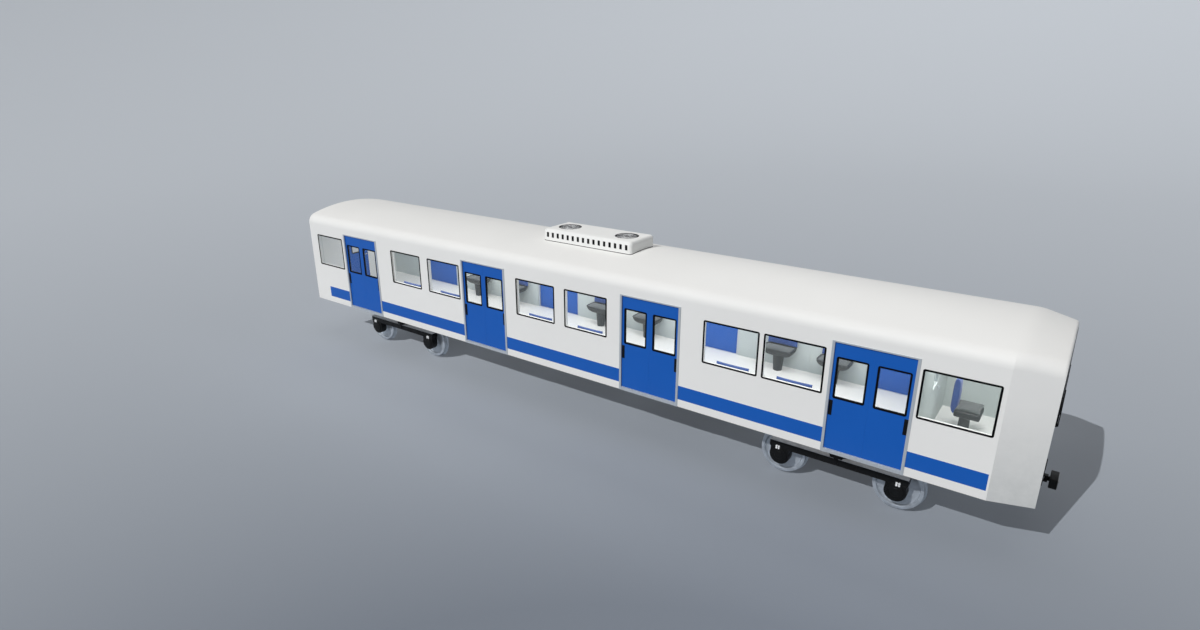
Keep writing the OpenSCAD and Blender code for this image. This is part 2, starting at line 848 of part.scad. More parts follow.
place_leaf("left", 2, false);  // left_leaf_c_rear
place_leaf("left", 2, true);  // left_leaf_c_front
place_leaf("left", 3, false);  // left_leaf_d_rear
place_leaf("left", 3, true);  // left_leaf_d_front
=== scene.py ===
"""Metro car with a driving cab: finishes, trim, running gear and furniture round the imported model.

X runs along the car with the cab at +X, Y across it, Z up. Everything is in metres.
"""
import math

import bmesh
import bpy
import numpy as np
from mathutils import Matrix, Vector


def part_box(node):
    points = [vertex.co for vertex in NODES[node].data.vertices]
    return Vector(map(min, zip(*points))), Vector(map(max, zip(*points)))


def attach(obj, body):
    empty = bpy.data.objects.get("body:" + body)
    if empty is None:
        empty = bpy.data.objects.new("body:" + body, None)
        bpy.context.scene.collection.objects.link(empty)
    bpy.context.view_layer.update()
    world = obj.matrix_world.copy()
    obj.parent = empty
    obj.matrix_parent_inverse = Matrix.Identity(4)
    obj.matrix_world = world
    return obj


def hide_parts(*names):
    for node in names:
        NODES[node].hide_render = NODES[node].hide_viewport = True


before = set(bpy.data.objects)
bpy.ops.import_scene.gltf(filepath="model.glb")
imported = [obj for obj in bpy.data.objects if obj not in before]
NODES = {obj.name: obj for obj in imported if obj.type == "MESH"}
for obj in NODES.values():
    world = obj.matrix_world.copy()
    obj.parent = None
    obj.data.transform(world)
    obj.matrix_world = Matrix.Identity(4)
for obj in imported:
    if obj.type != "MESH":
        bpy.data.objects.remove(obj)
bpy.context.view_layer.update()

# ---------- sizes ----------


def span(node, axis):
    """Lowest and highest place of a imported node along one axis."""
    low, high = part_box(node)
    return low[axis], high[axis]


half_l = span("rear_end_wall", 0)[0] * -1
half_w = span("left_side_panels", 1)[1]
inner_w = span("left_side_panels", 1)[0]
sill_z, panel_top = span("left_side_panels", 2)
floor_z = span("floor", 2)[1]
crown_z = span("roof", 2)[1]
shell_x = span("roof", 0)
nose_x = shell_x[1]
cantrail_top = span("roof", 2)[0]
roof_t = 0.070
roof_radius = 4.222
eave_radius = 0.250
wall_t = half_w - inner_w
end_t = 0.080

# Nose: how far the sides and the crown come in, and the bevel of its top edge at the face
nose_l = half_l - nose_x
nose_taper = 0.197
nose_drop = 0.130
nose_turn = 0.30
nose_bevel = 0.040
screen_low, screen_high = span("windscreen", 2)
screen_margin = 0.100
screen_lap = 0.060
screen_t = 0.024
screen_top_t = 0.004

# Doorways: middles and half widths between the uprights
LEAF_NAMES = "abcd"
SIDES = {"right": -1, "left": 1}
door_x = [
    (span(f"left_leaf_{d}_rear", 0)[1] + span(f"left_leaf_{d}_front", 0)[0]) / 2
    for d in LEAF_NAMES
]
portal_half = 0.683
leaf_in, leaf_out = 1.348, 1.382
leaf_window = (0.073, 0.585, 2.061, 2.802)
window_corner = 0.030

# Side windows: rear edge of each, all of one size
window_w, window_h = 1.087, 0.835
window_z = span("side_glass", 2)[0]
window_x = [
    door_x[0] - portal_half - 0.087 - window_w,
    door_x[0] + portal_half + 0.553,
    door_x[1] - portal_half - 0.081 - window_w,
    door_x[1] + portal_half + 0.329,
    door_x[2] - portal_half - 0.324 - window_w,
    door_x[2] + portal_half + 0.481,
    door_x[3] - portal_half - 0.087 - window_w,
    door_x[3] + portal_half + 0.047,
]
bays = [
    (shell_x[0], door_x[0] - portal_half),
    (door_x[0] + portal_half, door_x[1] - portal_half),
    (door_x[1] + portal_half, door_x[2] - portal_half),
    (door_x[2] + portal_half, door_x[3] - portal_half),
    (door_x[3] + portal_half, nose_x),
]

# Bogies
bogie_x = {"front": 5.875, "rear": -5.875}
half_base = 1.035
axle_z = 0.458
beam_out, beam_in = 1.010, 0.830
beam_low, beam_high = span("front_bogie_frame", 2)
beam_half = (span("front_bogie_frame", 0)[1] - span("front_bogie_frame", 0)[0]) / 2

SMOOTH = math.radians(32)
ROOF_STEPS = 40


# ---------- surfaces ----------

def grid(points, loop_rows=False, loop_columns=False, keep=None):
    """Patch of four-sided faces between the neighbours of an array of points, rows by columns.

    A looped direction also joins its last points to its first. keep marks the cells that stay.
    """
    rows, columns = points.shape[:2]
    i = np.arange(rows if loop_rows else rows - 1)[:, None]
    j = np.arange(columns if loop_columns else columns - 1)[None, :]
    after_i = (i + 1) % rows
    after_j = (j + 1) % columns
    quads = np.stack(
        [i * columns + j, i * columns + after_j, after_i * columns + after_j, after_i * columns + j],
        axis=-1,
    )
    quads = quads.reshape(-1, 4) if keep is None else quads[keep]
    return points.reshape(-1, 3), quads


def joined(patches):
    """One patch of several: the points in a row, each patch's faces counted on from those before."""
    counts = [len(points) for points, _ in patches]
    starts = np.cumsum([0] + counts[:-1])
    points = np.concatenate([points for points, _ in patches])
    faces = np.concatenate([faces + start for (_, faces), start in zip(patches, starts)])
    return points, faces


def moved(patch, offset):
    """The patch with the same offset added to each point."""
    return patch[0] + np.asarray(offset, float), patch[1]


def mirrored(patch, axis):
    """The patch with one coordinate's sign changed."""
    sign = np.ones(3)
    sign[axis] = -1
    return patch[0] * sign, patch[1]


def both_sides(patch):
    """The patch and its mirror image across the car."""
    return joined([patch, mirrored(patch, 1)])


def closed_ends(points):
    """Rows of points with each end row drawn together in its own middle, as a first and a last row."""
    first = np.repeat(points[:1].mean(axis=1, keepdims=True), points.shape[1], axis=1)
    last = np.repeat(points[-1:].mean(axis=1, keepdims=True), points.shape[1], axis=1)
    return np.concatenate([first, points, last])


def soft_block(low, high, edge, steps=3):
    """Box with rounded edges: a rounded rectangle carried up Z.

    Its corners keep their centres. Their radius is the edge times the sine of an angle that turns
    from 0 to 90 degrees at the bottom and back at the top, where Z follows the cosine.
    """
    low, high = np.asarray(low, float), np.asarray(high, float)
    edge = min(edge, 0.49 * (high - low).min())
    turn = np.linspace(0, math.pi / 2, steps + 1)
    radius = np.concatenate([edge * np.sin(turn), edge * np.sin(turn[::-1])])
    height = np.concatenate(
        [low[2] + edge * (1 - np.cos(turn)), high[2] - edge * (1 - np.cos(turn[::-1]))]
    )
    around = np.concatenate([turn + k * math.pi / 2 for k in range(4)])
    corner_x = np.repeat([high[0] - edge, low[0] + edge, low[0] + edge, high[0] - edge], steps + 1)
    corner_y = np.repeat([high[1] - edge, high[1] - edge, low[1] + edge, low[1] + edge], steps + 1)
    x = corner_x + radius[:, None] * np.cos(around)
    y = corner_y + radius[:, None] * np.sin(around)
    z = np.broadcast_to(height[:, None], x.shape)
    return grid(closed_ends(np.stack([x, y, z], axis=-1)), loop_columns=True)


def lathe(profile, centre, axis, turns=48):
    """Solid of revolution: a profile of (radius, distance along the axis) points turned round an axis.

    Each point is the centre, plus its distance along the axis, plus its radius times the cosine
    and sine of the turn along two directions square to the axis.
    """
    profile = np.asarray(profile, float)
    along = np.eye(3)[axis]
    first = np.eye(3)[(axis + 1) % 3]
    second = np.eye(3)[(axis + 2) % 3]
    angle = np.linspace(0, 2 * math.pi, turns, endpoint=False)
    ring = np.cos(angle)[:, None] * first + np.sin(angle)[:, None] * second
    points = (
        np.asarray(centre, float)
        + profile[:, 1][:, None, None] * along
        + profile[:, 0][:, None, None] * ring
    )
    return grid(points, loop_columns=True)


def rounded_bar(radius, start, end, edge, steps=3):
    """Profile of a round bar with rounded rims, for lathe: out from the axis, along, and back in."""
    turn = np.linspace(0, math.pi / 2, steps + 1)
    out = radius - edge + edge * np.sin(turn)
    low = start + edge * (1 - np.cos(turn))
    high = end - edge * (1 - np.cos(turn))
    rim = np.concatenate([np.stack([out, low], -1), np.stack([out[::-1], high[::-1]], -1)])
    return np.concatenate([[[0, start]], rim, [[0, end]]])


def outline(x0, x1, z0, z1, corner, steps=6):
    """Closed rounded rectangle: each corner's centre plus its radius times cosine and sine."""
    turn = np.linspace(0, math.pi / 2, steps + 1)
    around = np.concatenate([turn + k * math.pi / 2 for k in range(4)])
    middle_x = np.repeat([x1 - corner, x0 + corner, x0 + corner, x1 - corner], steps + 1)
    middle_z = np.repeat([z1 - corner, z1 - corner, z0 + corner, z0 + corner], steps + 1)
    return np.stack([middle_x + corner * np.cos(around), middle_z + corner * np.sin(around)], axis=-1)


def frame_round(rectangle, corner, profile, side, wall):
    """Moulding: a profile carried round an upright rounded rectangle in a side wall.

    Each profile point grows the rectangle by its first value and stands off the wall by its second.
    """
    x0, x1, z0, z1 = rectangle
    rows = []
    for grow, proud in profile:
        flat = outline(x0 - grow, x1 + grow, z0 - grow, z1 + grow, max(corner + grow, 0.0005))
        y = np.full(len(flat), side * (wall + proud))
        rows.append(np.stack([flat[:, 0], y, flat[:, 1]], axis=-1))
    return grid(np.array(rows), loop_rows=True, loop_columns=True)


def pane(rectangle, corner, side, inside, outside):
    """Flat pane: a rounded rectangle drawn together in its middle on both faces."""
    x0, x1, z0, z1 = rectangle
    flat = outline(x0, x1, z0, z1, corner)
    rows = [
        np.stack([flat[:, 0], np.full(len(flat), side * y), flat[:, 1]], axis=-1)
        for y in (inside, outside)
    ]
    return grid(closed_ends(np.array(rows)), loop_columns=True)


def tube(path, radius, sides=10):
    """Round bar along a path: at each point a circle square to the direction of travel.

    The circle's first direction is square to both the travel and a fixed direction that the path
    never runs along, and its second is square to the travel and the first.
    """
    path = np.asarray(path, float)
    travel = np.gradient(path, axis=0)
    travel /= np.linalg.norm(travel, axis=1, keepdims=True)
    fixed = np.eye(3)[np.abs(travel).max(axis=0).argmin()]
    first = np.cross(travel, fixed)
    first /= np.linalg.norm(first, axis=1, keepdims=True)
    second = np.cross(travel, first)
    angle = np.linspace(0, 2 * math.pi, sides, endpoint=False)[None, :, None]
    points = path[:, None] + radius * (np.cos(angle) * first[:, None] + np.sin(angle) * second[:, None])
    return grid(closed_ends(points), loop_columns=True)


def ring_of(patch_at, centre, radius, count, axis, start=0.0):
    """Copies of a patch at equal steps round a circle that is square to an axis."""
    first = np.eye(3)[(axis + 1) % 3]
    second = np.eye(3)[(axis + 2) % 3]
    angles = start + np.arange(count) * 2 * math.pi / count
    places = [np.asarray(centre) + radius * (math.cos(a) * first + math.sin(a) * second) for a in angles]
    return joined([patch_at(place) for place in places])


def bolt_head(place, radius, height, axis, direction=1):
    """Hexagon bolt head: a six-sided bar whose outer rim is drawn in a little."""
    profile = [[0, 0], [radius, 0], [radius, 0.7 * height], [0.85 * radius, height], [0, height]]
    profile = [[r, direction * along] for r, along in profile]
    return lathe(profile, place, axis, turns=6)


def section(half_width, top, arch, eave, low, side_steps=6, eave_steps=12, roof_steps=ROOF_STEPS):
    """Closed outline of the body across the car, from the left foot over the roof and back below.

    Flat sides run up to the eaves, each eave is an arc, and the roof is one wide arc that meets
    both eaves smoothly: the angle where it does has the cosine (half width - eave) / (arch - eave).
    """
    eave_z = top - arch + math.sqrt((arch - eave) ** 2 - (half_width - eave) ** 2)
    turn = math.acos((half_width - eave) / (arch - eave))
    rise = np.linspace(low, eave_z, side_steps, endpoint=False)
    bend = np.linspace(0, turn, eave_steps, endpoint=False)
    sweep = np.linspace(turn, math.pi - turn, roof_steps, endpoint=False)
    fall = np.linspace(eave_z, low, side_steps, endpoint=False)
    under = np.linspace(-half_width, half_width, roof_steps, endpoint=False)
    far_bend = math.pi - turn + bend
    y = np.concatenate([
        np.full(side_steps, half_width), half_width - eave + eave * np.cos(bend),
        arch * np.cos(sweep), eave - half_width + eave * np.cos(far_bend),
        np.full(side_steps, -half_width), under,
    ])
    z = np.concatenate([
        rise, eave_z + eave * np.sin(bend), top - arch + arch * np.sin(sweep),
        eave_z + eave * np.sin(far_bend), fall, np.full(roof_steps, low),
    ])
    return np.stack([y, z], axis=-1)


def across(flat, x):
    """Points of an outline across the car, put at a place along it."""
    return np.stack([np.broadcast_to(x, len(flat)), flat[:, 0], flat[:, 1]], axis=-1)


def on_face(flat, depth):
    """Points of an outline laid on the upright front face, a depth out of it."""
    return np.stack([half_l + depth + 0 * flat[:, 0], flat[:, 0], flat[:, 1]], axis=-1)


def screen_depth(z):
    """Thickness of the windscreen at a height: it falls evenly from its foot to its top."""
    return screen_t - (screen_t - screen_top_t) * (z - screen_low) / (screen_high - screen_low)


# ---------- pieces ----------

def piece(name, body, coats, stands_for=(), sharp=SMOOTH):
    """Makes one object of several coated patches, and hands it to the frame.

    Points that coincide are merged, which closes seams and poles, and faces turn outwards.
    """
    points, faces = joined([patch for patch, _ in coats])
    counts = [len(patch[1]) for patch, _ in coats]
    finishes = list(dict.fromkeys(material for _, material in coats))
    coat_of_face = np.repeat([finishes.index(material) for _, material in coats], counts)
    mesh = bpy.data.meshes.new(name)
    mesh.from_pydata(points.tolist(), [], faces.tolist())
    mesh.polygons.foreach_set("material_index", coat_of_face.astype(np.int32))
    for material in finishes:
        mesh.materials.append(material)
    shape = bmesh.new()
    shape.from_mesh(mesh)
    bmesh.ops.remove_doubles(shape, verts=shape.verts, dist=1e-6)
    bmesh.ops.dissolve_degenerate(shape, edges=shape.edges, dist=1e-7)
    bmesh.ops.recalc_face_normals(shape, faces=shape.faces)
    shape.to_mesh(mesh)
    shape.free()
    mesh.shade_smooth()
    mesh.set_sharp_from_angle(angle=sharp)
    made = bpy.data.objects.new(name, mesh)
    bpy.context.scene.collection.objects.link(made)
    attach(made, body)
    if stands_for:
        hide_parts(*stands_for)
    return made


# ---------- finishes ----------

def new_finish(name, colour, rough, metallic=0.0):
    """Material with one principled surface. Returns it with its node tree and surface node."""
    material = bpy.data.materials.new(name)
    material.use_nodes = True
    tree = material.node_tree
    surface = tree.nodes["Principled BSDF"]
    surface.inputs["Base Color"].default_value = (*colour, 1)
    surface.inputs["Roughness"].default_value = rough
    surface.inputs["Metallic"].default_value = metallic
    return material, tree, surface


def add(tree, kind, **values):
    """New node of a kind, with its inputs or settings given by name."""
    node = tree.nodes.new(kind)
    for key, value in values.items():
        if key in node.inputs.keys():
            node.inputs[key].default_value = value
        else:
            setattr(node, key, value)
    return node


def object_place(tree, scale=(1, 1, 1), turn=(0, 0, 0)):
    """Coordinates of the object, scaled and turned."""
    source = add(tree, "ShaderNodeTexCoord")
    mapping = add(tree, "ShaderNodeMapping")
    mapping.inputs["Scale"].default_value = scale
    mapping.inputs["Rotation"].default_value = turn
    tree.links.new(source.outputs["Object"], mapping.inputs["Vector"])
    return mapping.outputs["Vector"]


def noise(tree, place, scale, detail=4.0, rough=0.55):
    """Noise value at a place."""
    node = add(tree, "ShaderNodeTexNoise", Scale=scale, Detail=detail, Roughness=rough)
    tree.links.new(place, node.inputs["Vector"])
    return node.outputs["Fac"]


def spread(tree, value, low, high, new_low, new_high):
    """Value remapped from one range to another and kept inside it."""
    node = add(tree, "ShaderNodeMapRange")
    for socket, number in zip(("From Min", "From Max", "To Min", "To Max"),
                              (low, high, new_low, new_high)):
        node.inputs[socket].default_value = number
    tree.links.new(value, node.inputs["Value"])
    return node.outputs["Result"]


def blended(tree, share, first, second):
    """Colour between two others, each a colour or another node's output."""
    node = add(tree, "ShaderNodeMix", data_type="RGBA")
    tree.links.new(share, node.inputs["Factor"])
    for socket, colour in ((node.inputs[6], first), (node.inputs[7], second)):
        if isinstance(colour, tuple):
            socket.default_value = (*colour, 1)
        else:
            tree.links.new(colour, socket)
    return node.outputs[2]


def bump(tree, surface, height, strength, distance):
    """Surface relief from a height."""
    node = add(tree, "ShaderNodeBump", Strength=strength, Distance=distance)
    tree.links.new(height, node.inputs["Height"])
    tree.links.new(node.outputs["Normal"], surface.inputs["Normal"])


def shade(colour, share):
    """Colour made lighter or darker by a share."""
    return tuple(min(1.0, c * share) for c in colour)


def finish(name, colour, rough, metallic=0.0, mottle=0.05, mottle_scale=3.0, rough_swing=0.08,
           grain_scale=300.0, grain=0.15, grain_depth=0.0004, stretch=(1, 1, 1), shine=0.5, coat=0.0,
           low_dust_and_shade=None):
    """Painted, moulded or rolled finish.

    Two noises shift the colour and the gloss over large areas, a fine one gives the grain, and
    the last argument gives (colour, height where it ends, depth over which it fades, share) of a colour
    that fades in low on the piece: road and brake dust that settles low on most finishes, painted shade on
    the nose.
    """
    material, tree, surface = new_finish(name, colour, rough, metallic)
    surface.inputs["Specular IOR Level"].default_value = shine
    place = object_place(tree, stretch)
    patches = noise(tree, place, mottle_scale)
    tint = blended(tree, spread(tree, patches, 0.3, 0.7, 0, 1), shade(colour, 1 - mottle),
                   shade(colour, 1 + mottle))
    # Low colour under noise clouds: real dust on most finishes, painted shade on the nose paint
    if low_dust_and_shade:
        dust_and_shade_colour, dust_and_shade_top, dust_and_shade_fade, dust_and_shade_share = low_dust_and_shade
        height = add(tree, "ShaderNodeSeparateXYZ")
        plain = object_place(tree)
        tree.links.new(plain, height.inputs["Vector"])
        low = spread(tree, height.outputs["Z"], dust_and_shade_top - dust_and_shade_fade, dust_and_shade_top, 1.0, 0.0)
        cloud = spread(tree, noise(tree, plain, 5.0, 8.0, 0.7), 0.30, 0.75, 0.6 * dust_and_shade_share,
                       dust_and_shade_share)
        cover = add(tree, "ShaderNodeMath", operation="MULTIPLY")
        tree.links.new(low, cover.inputs[0])
        tree.links.new(cloud, cover.inputs[1])
        tint = blended(tree, cover.outputs["Value"], tint, dust_and_shade_colour)
    tree.links.new(tint, surface.inputs["Base Color"])
    gloss = noise(tree, place, mottle_scale * 4, 6.0)
    tree.links.new(
        spread(tree, gloss, 0.3, 0.7, max(0.02, rough - rough_swing), min(1.0, rough + rough_swing)),
        surface.inputs["Roughness"],
    )
    bump(tree, surface, noise(tree, place, grain_scale, 3.0), grain, grain_depth)
    if coat:
        surface.inputs["Coat Weight"].default_value = coat
        surface.inputs["Coat Roughness"].default_value = 0.12
    return material


def glass(name, colour, alpha, rough):
    """Thin safety glass: mostly clear, with faint smears in its gloss."""
    material, tree, surface = new_finish(name, colour, rough)
    place = object_place(tree, (1, 1, 0.4))
    smears = noise(tree, place, 2.5, 5.0)
    tree.links.new(spread(tree, smears, 0.35, 0.7, rough, rough + 0.08), surface.inputs["Roughness"])
    tree.links.new(
        blended(tree, spread(tree, smears, 0.3, 0.8, 0, 1), colour, shade(colour, 1.25)),
        surface.inputs["Base Color"],
    )
    surface.inputs["Alpha"].default_value = alpha
    bump(tree, surface, noise(tree, place, 1.2, 2.0), 0.05, 0.002)
    return material


def turned_steel(name, colour, rough):
    """Steel turned on a lathe: fine rings that follow the piece's own distance from its axis."""
    material, tree, surface = new_finish(name, colour, rough, 0.6)
    radius = add(tree, "ShaderNodeAttribute", attribute_name="turning_radius")
    rings = add(tree, "ShaderNodeTexNoise", noise_dimensions="1D", Scale=420.0, Detail=3.0)
    tree.links.new(radius.outputs["Fac"], rings.inputs["W"])
    place = object_place(tree)
    stains = noise(tree, place, 9.0, 7.0, 0.65)
    tree.links.new(
        blended(tree, spread(tree, stains, 0.4, 0.75, 0, 1), colour, shade(colour, 0.72)),
        surface.inputs["Base Color"],
    )
    tree.links.new(
        spread(tree, rings.outputs["Fac"], 0.3, 0.7, rough - 0.07, rough + 0.12),
        surface.inputs["Roughness"],
    )
    bump(tree, surface, rings.outputs["Fac"], 0.2, 0.0006)
    return material


def woven(name, colour, second):
    """Seat cloth: warp and weft threads as two crossed waves, with worn lighter patches."""
    material, tree, surface = new_finish(name, colour, 0.85)
    place = object_place(tree)
    warp = add(tree, "ShaderNodeTexWave", wave_type="BANDS", bands_direction="X", Scale=140.0,
               Distortion=0.6)
    weft = add(tree, "ShaderNodeTexWave", wave_type="BANDS", bands_direction="Z", Scale=140.0,
               Distortion=0.6)
    weave = add(tree, "ShaderNodeMath", operation="MULTIPLY")
    for wave, socket in ((warp, 0), (weft, 1)):
        tree.links.new(place, wave.inputs["Vector"])
        tree.links.new(wave.outputs["Fac"], weave.inputs[socket])
    worn = spread(tree, noise(tree, place, 6.0, 5.0), 0.4, 0.8, 0.0, 1.0)
    base = blended(tree, worn, colour, second)
    tree.links.new(blended(tree, weave.outputs["Value"], base, shade(colour, 0.55)),
                   surface.inputs["Base Color"])
    surface.inputs["Sheen Weight"].default_value = 0.3
    bump(tree, surface, weave.outputs["Value"], 0.5, 0.0012)
    return material


def speckled(name, colour, chips):
    """Floor covering: a pale ground with small darker chips, scuffed in its gloss."""
    material, tree, surface = new_finish(name, colour, 0.5)
    place = object_place(tree)
    spots = add(tree, "ShaderNodeTexVoronoi", Scale=90.0)
    tree.links.new(place, spots.inputs["Vector"])
    share = spread(tree, spots.outputs["Distance"], 0.12, 0.2, 0.6, 0.0)
    tree.links.new(blended(tree, share, colour, chips), surface.inputs["Base Color"])
    scuffs = noise(tree, place, 3.0, 8.0, 0.7)
    tree.links.new(spread(tree, scuffs, 0.3, 0.7, 0.35, 0.62), surface.inputs["Roughness"])
    bump(tree, surface, spots.outputs["Distance"], 0.1, 0.0005)
    return material


def ribbed_lens(name, colour, alpha):
    """Lamp lens: clear moulded plastic with fine upright ribs."""
    material, tree, surface = new_finish(name, colour, 0.12)
    place = object_place(tree)
    ribs = add(tree, "ShaderNodeTexWave", wave_type="BANDS", bands_direction="Y", Scale=28.0)
    tree.links.new(place, ribs.inputs["Vector"])
    tree.links.new(
        blended(tree, ribs.outputs["Fac"], shade(colour, 0.8), colour), surface.inputs["Base Color"]
    )
    surface.inputs["Coat Weight"].default_value = 0.6
    surface.inputs["Alpha"].default_value = alpha
    bump(tree, surface, ribs.outputs["Fac"], 0.35, 0.003)
    return material


ROAD_DUST = (0.20, 0.19, 0.175)
BRAKE_DUST = (0.060, 0.056, 0.052)

body_paint = finish("body_paint_finish", (0.80, 0.795, 0.775), 0.55, mottle=0.012, mottle_scale=0.6,
                    rough_swing=0.05, grain=0.02, shine=0.25, low_dust_and_shade=(ROAD_DUST, 1.55, 0.5, 0.03))
# Nose paint: the body's white with painted shade, a grey that fades in below 2.7 m and darkens the nose
# side towards the bottom
nose_shaded_paint = finish("nose_paint_finish", (0.80, 0.795, 0.775), 0.55, mottle=0.012, mottle_scale=0.6,
                    rough_swing=0.05, grain=0.02, shine=0.25,
                    low_dust_and_shade=((0.36, 0.385, 0.385), 2.7, 1.66, 0.60))
unit_paint = finish("unit_paint_finish", (0.82, 0.82, 0.80), 0.50, mottle=0.015, mottle_scale=2.0,
                    grain=0.05, shine=0.3)
blue_paint = finish("blue_paint_finish", (0.005, 0.098, 0.440), 0.42, mottle=0.02, mottle_scale=1.0,
                    rough_swing=0.05, grain=0.03, shine=0.25, coat=0.06,
                    low_dust_and_shade=(ROAD_DUST, 1.5, 0.45, 0.02))
portal_metal = finish("anodised_grey_finish", (0.50, 0.54, 0.58), 0.38, metallic=0.35, mottle=0.05,
                      mottle_scale=4.0, stretch=(8, 8, 0.5), grain=0.12)
black_rubber = finish("black_rubber_finish", (0.002, 0.002, 0.0025), 0.6, mottle=0.25,
                      mottle_scale=12.0,
                      rough_swing=0.12, grain=0.25, shine=0.08)
black_plastic = finish("black_plastic_finish", (0.004, 0.0045, 0.005), 0.45, mottle=0.2,
                       mottle_scale=10.0,
                       grain=0.35, grain_scale=700.0, shine=0.15)
chassis_black = finish("chassis_black_finish", (0.004, 0.0045, 0.005), 0.42, mottle=0.3,
                       mottle_scale=7.0,
                       rough_swing=0.12, grain=0.3, grain_scale=120.0, grain_depth=0.001, shine=0.2)
chassis_top = finish("chassis_plate_finish", (0.40, 0.41, 0.43), 0.45, mottle=0.12, mottle_scale=6.0,
                     rough_swing=0.12, grain=0.4, grain_scale=120.0, grain_depth=0.001)
underframe_grey = finish("underframe_finish", (0.055, 0.058, 0.062), 0.6, mottle=0.25, mottle_scale=5.0,
                         rough_swing=0.15, grain=0.4, grain_scale=90.0, grain_depth=0.001,
                         low_dust_and_shade=(BRAKE_DUST, 1.3, 0.5, 0.35))
case_grey = finish("case_grey_finish", (0.10, 0.105, 0.11), 0.5, mottle=0.2, mottle_scale=4.0,
                   rough_swing=0.12, grain=0.3, low_dust_and_shade=(BRAKE_DUST, 1.2, 0.5, 0.3))
lining_finish = finish("lining_finish", (0.52, 0.57, 0.56), 0.5, mottle=0.03, mottle_scale=1.5,
                       grain=0.3, grain_scale=500.0)
seat_shell = finish("seat_shell_finish", (0.020, 0.023, 0.025), 0.5, mottle=0.12, mottle_scale=8.0,
                    grain=0.4, grain_scale=600.0)
bright_steel = finish("bright_steel_finish", (0.88, 0.89, 0.90), 0.30, metallic=0.2, mottle=0.08,
                      mottle_scale=20.0, grain=0.1)
seat_cloth = woven("seat_cloth_finish", (0.020, 0.075, 0.33), (0.035, 0.11, 0.38))
cushion_cloth = woven("cushion_cloth_finish", (0.080, 0.090, 0.090), (0.11, 0.12, 0.12))
floor_covering = speckled("floor_covering_finish", (0.72, 0.72, 0.70), (0.42, 0.43, 0.44))
wheel_steel = turned_steel("wheel_steel_finish", (0.53, 0.58, 0.64), 0.36)
side_glazing = glass("side_glazing_finish", (0.36, 0.40, 0.40), 0.06, 0.05)
screen_glazing = glass("screen_glazing_finish", (0.006, 0.007, 0.009), 1.0, 0.06)
clear_lens = ribbed_lens("clear_lens_finish", (0.82, 0.84, 0.86), 0.9)
red_lens = ribbed_lens("red_lens_finish", (0.55, 0.012, 0.010), 1.0)
lamp_glow = finish("ceiling_lamp_finish", (0.85, 0.86, 0.85), 0.4, mottle=0.01, grain=0.05)

FINISH_OF_SLOT = {
    "body_paint": body_paint, "unit_paint": unit_paint, "portal_grey": portal_metal,
    "door_blue": blue_paint, "dark_glass": screen_glazing, "side_glass": side_glazing,
    "underframe": underframe_grey, "lining": lining_finish, "black_plastic": black_plastic,
    "bogie_black": chassis_black, "rubber": black_rubber, "case_grey": case_grey,
    "wheel_steel": wheel_steel, "seat_grey": seat_shell, "seat_blue": seat_cloth,
    "lamp_clear": clear_lens, "lamp_red": red_lens,
}


def coat_nodes():
    """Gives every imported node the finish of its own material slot, and the floor its covering."""
    for name, node in NODES.items():
        for index, material in enumerate(node.data.materials):
            slot = material.name.split(".")[0]
            node.data.materials[index] = FINISH_OF_SLOT[slot]
    NODES["floor"].data.materials[0] = floor_covering


# ---------- body ----------

def make_roof():
    """Roof skin: the body's section carried along the car, with the lining on its inner face."""
    outer = section(half_w, crown_z, roof_radius, eave_radius, cantrail_top)
    inner = section(inner_w, crown_z - roof_t, roof_radius - roof_t, eave_radius - wall_t, cantrail_top)
    open_part = slice(0, len(outer) - ROOF_STEPS + 1)
    outside = np.array([across(outer, x)[open_part] for x in shell_x])
    inside = np.array([across(inner, x)[open_part] for x in shell_x])
    ends = [grid(np.array([outside[k], inside[k]])) for k in (0, 1)]
    feet = [grid(np.array([outside[:, k], inside[:, k]])) for k in (0, -1)]
    piece("roof_skin", "car_body",
          [(grid(outside), body_paint), (grid(inside), lining_finish)]
          + [(part, body_paint) for part in ends + feet], stands_for=["roof"])


def crown_share(share):
    """Share of the crown's fall: it starts level, turns down over nose_turn, then falls evenly."""
    turned = share * share / (2 * nose_turn) if share < nose_turn else share - nose_turn / 2
    return turned / (1 - nose_turn / 2)


def nose_ring(share, inset, trim=0.0, side_trim=0.0):
    """Section of the nose at a share of its length, inset by a wall's thickness.

    The half width shrinks evenly with the share and the crown falls as crown_share says. Trims draw
    in the top and the sides a little more, for the edges at the face.
    """
    half = half_w - nose_taper * share - inset[0] - side_trim
    top = crown_z - nose_drop * crown_share(share) - inset[1] - trim
    flat = section(half, top, roof_radius - inset[1] - trim, eave_radius - inset[0], sill_z)
    return across(flat, nose_x + share * (nose_l - inset[2]))


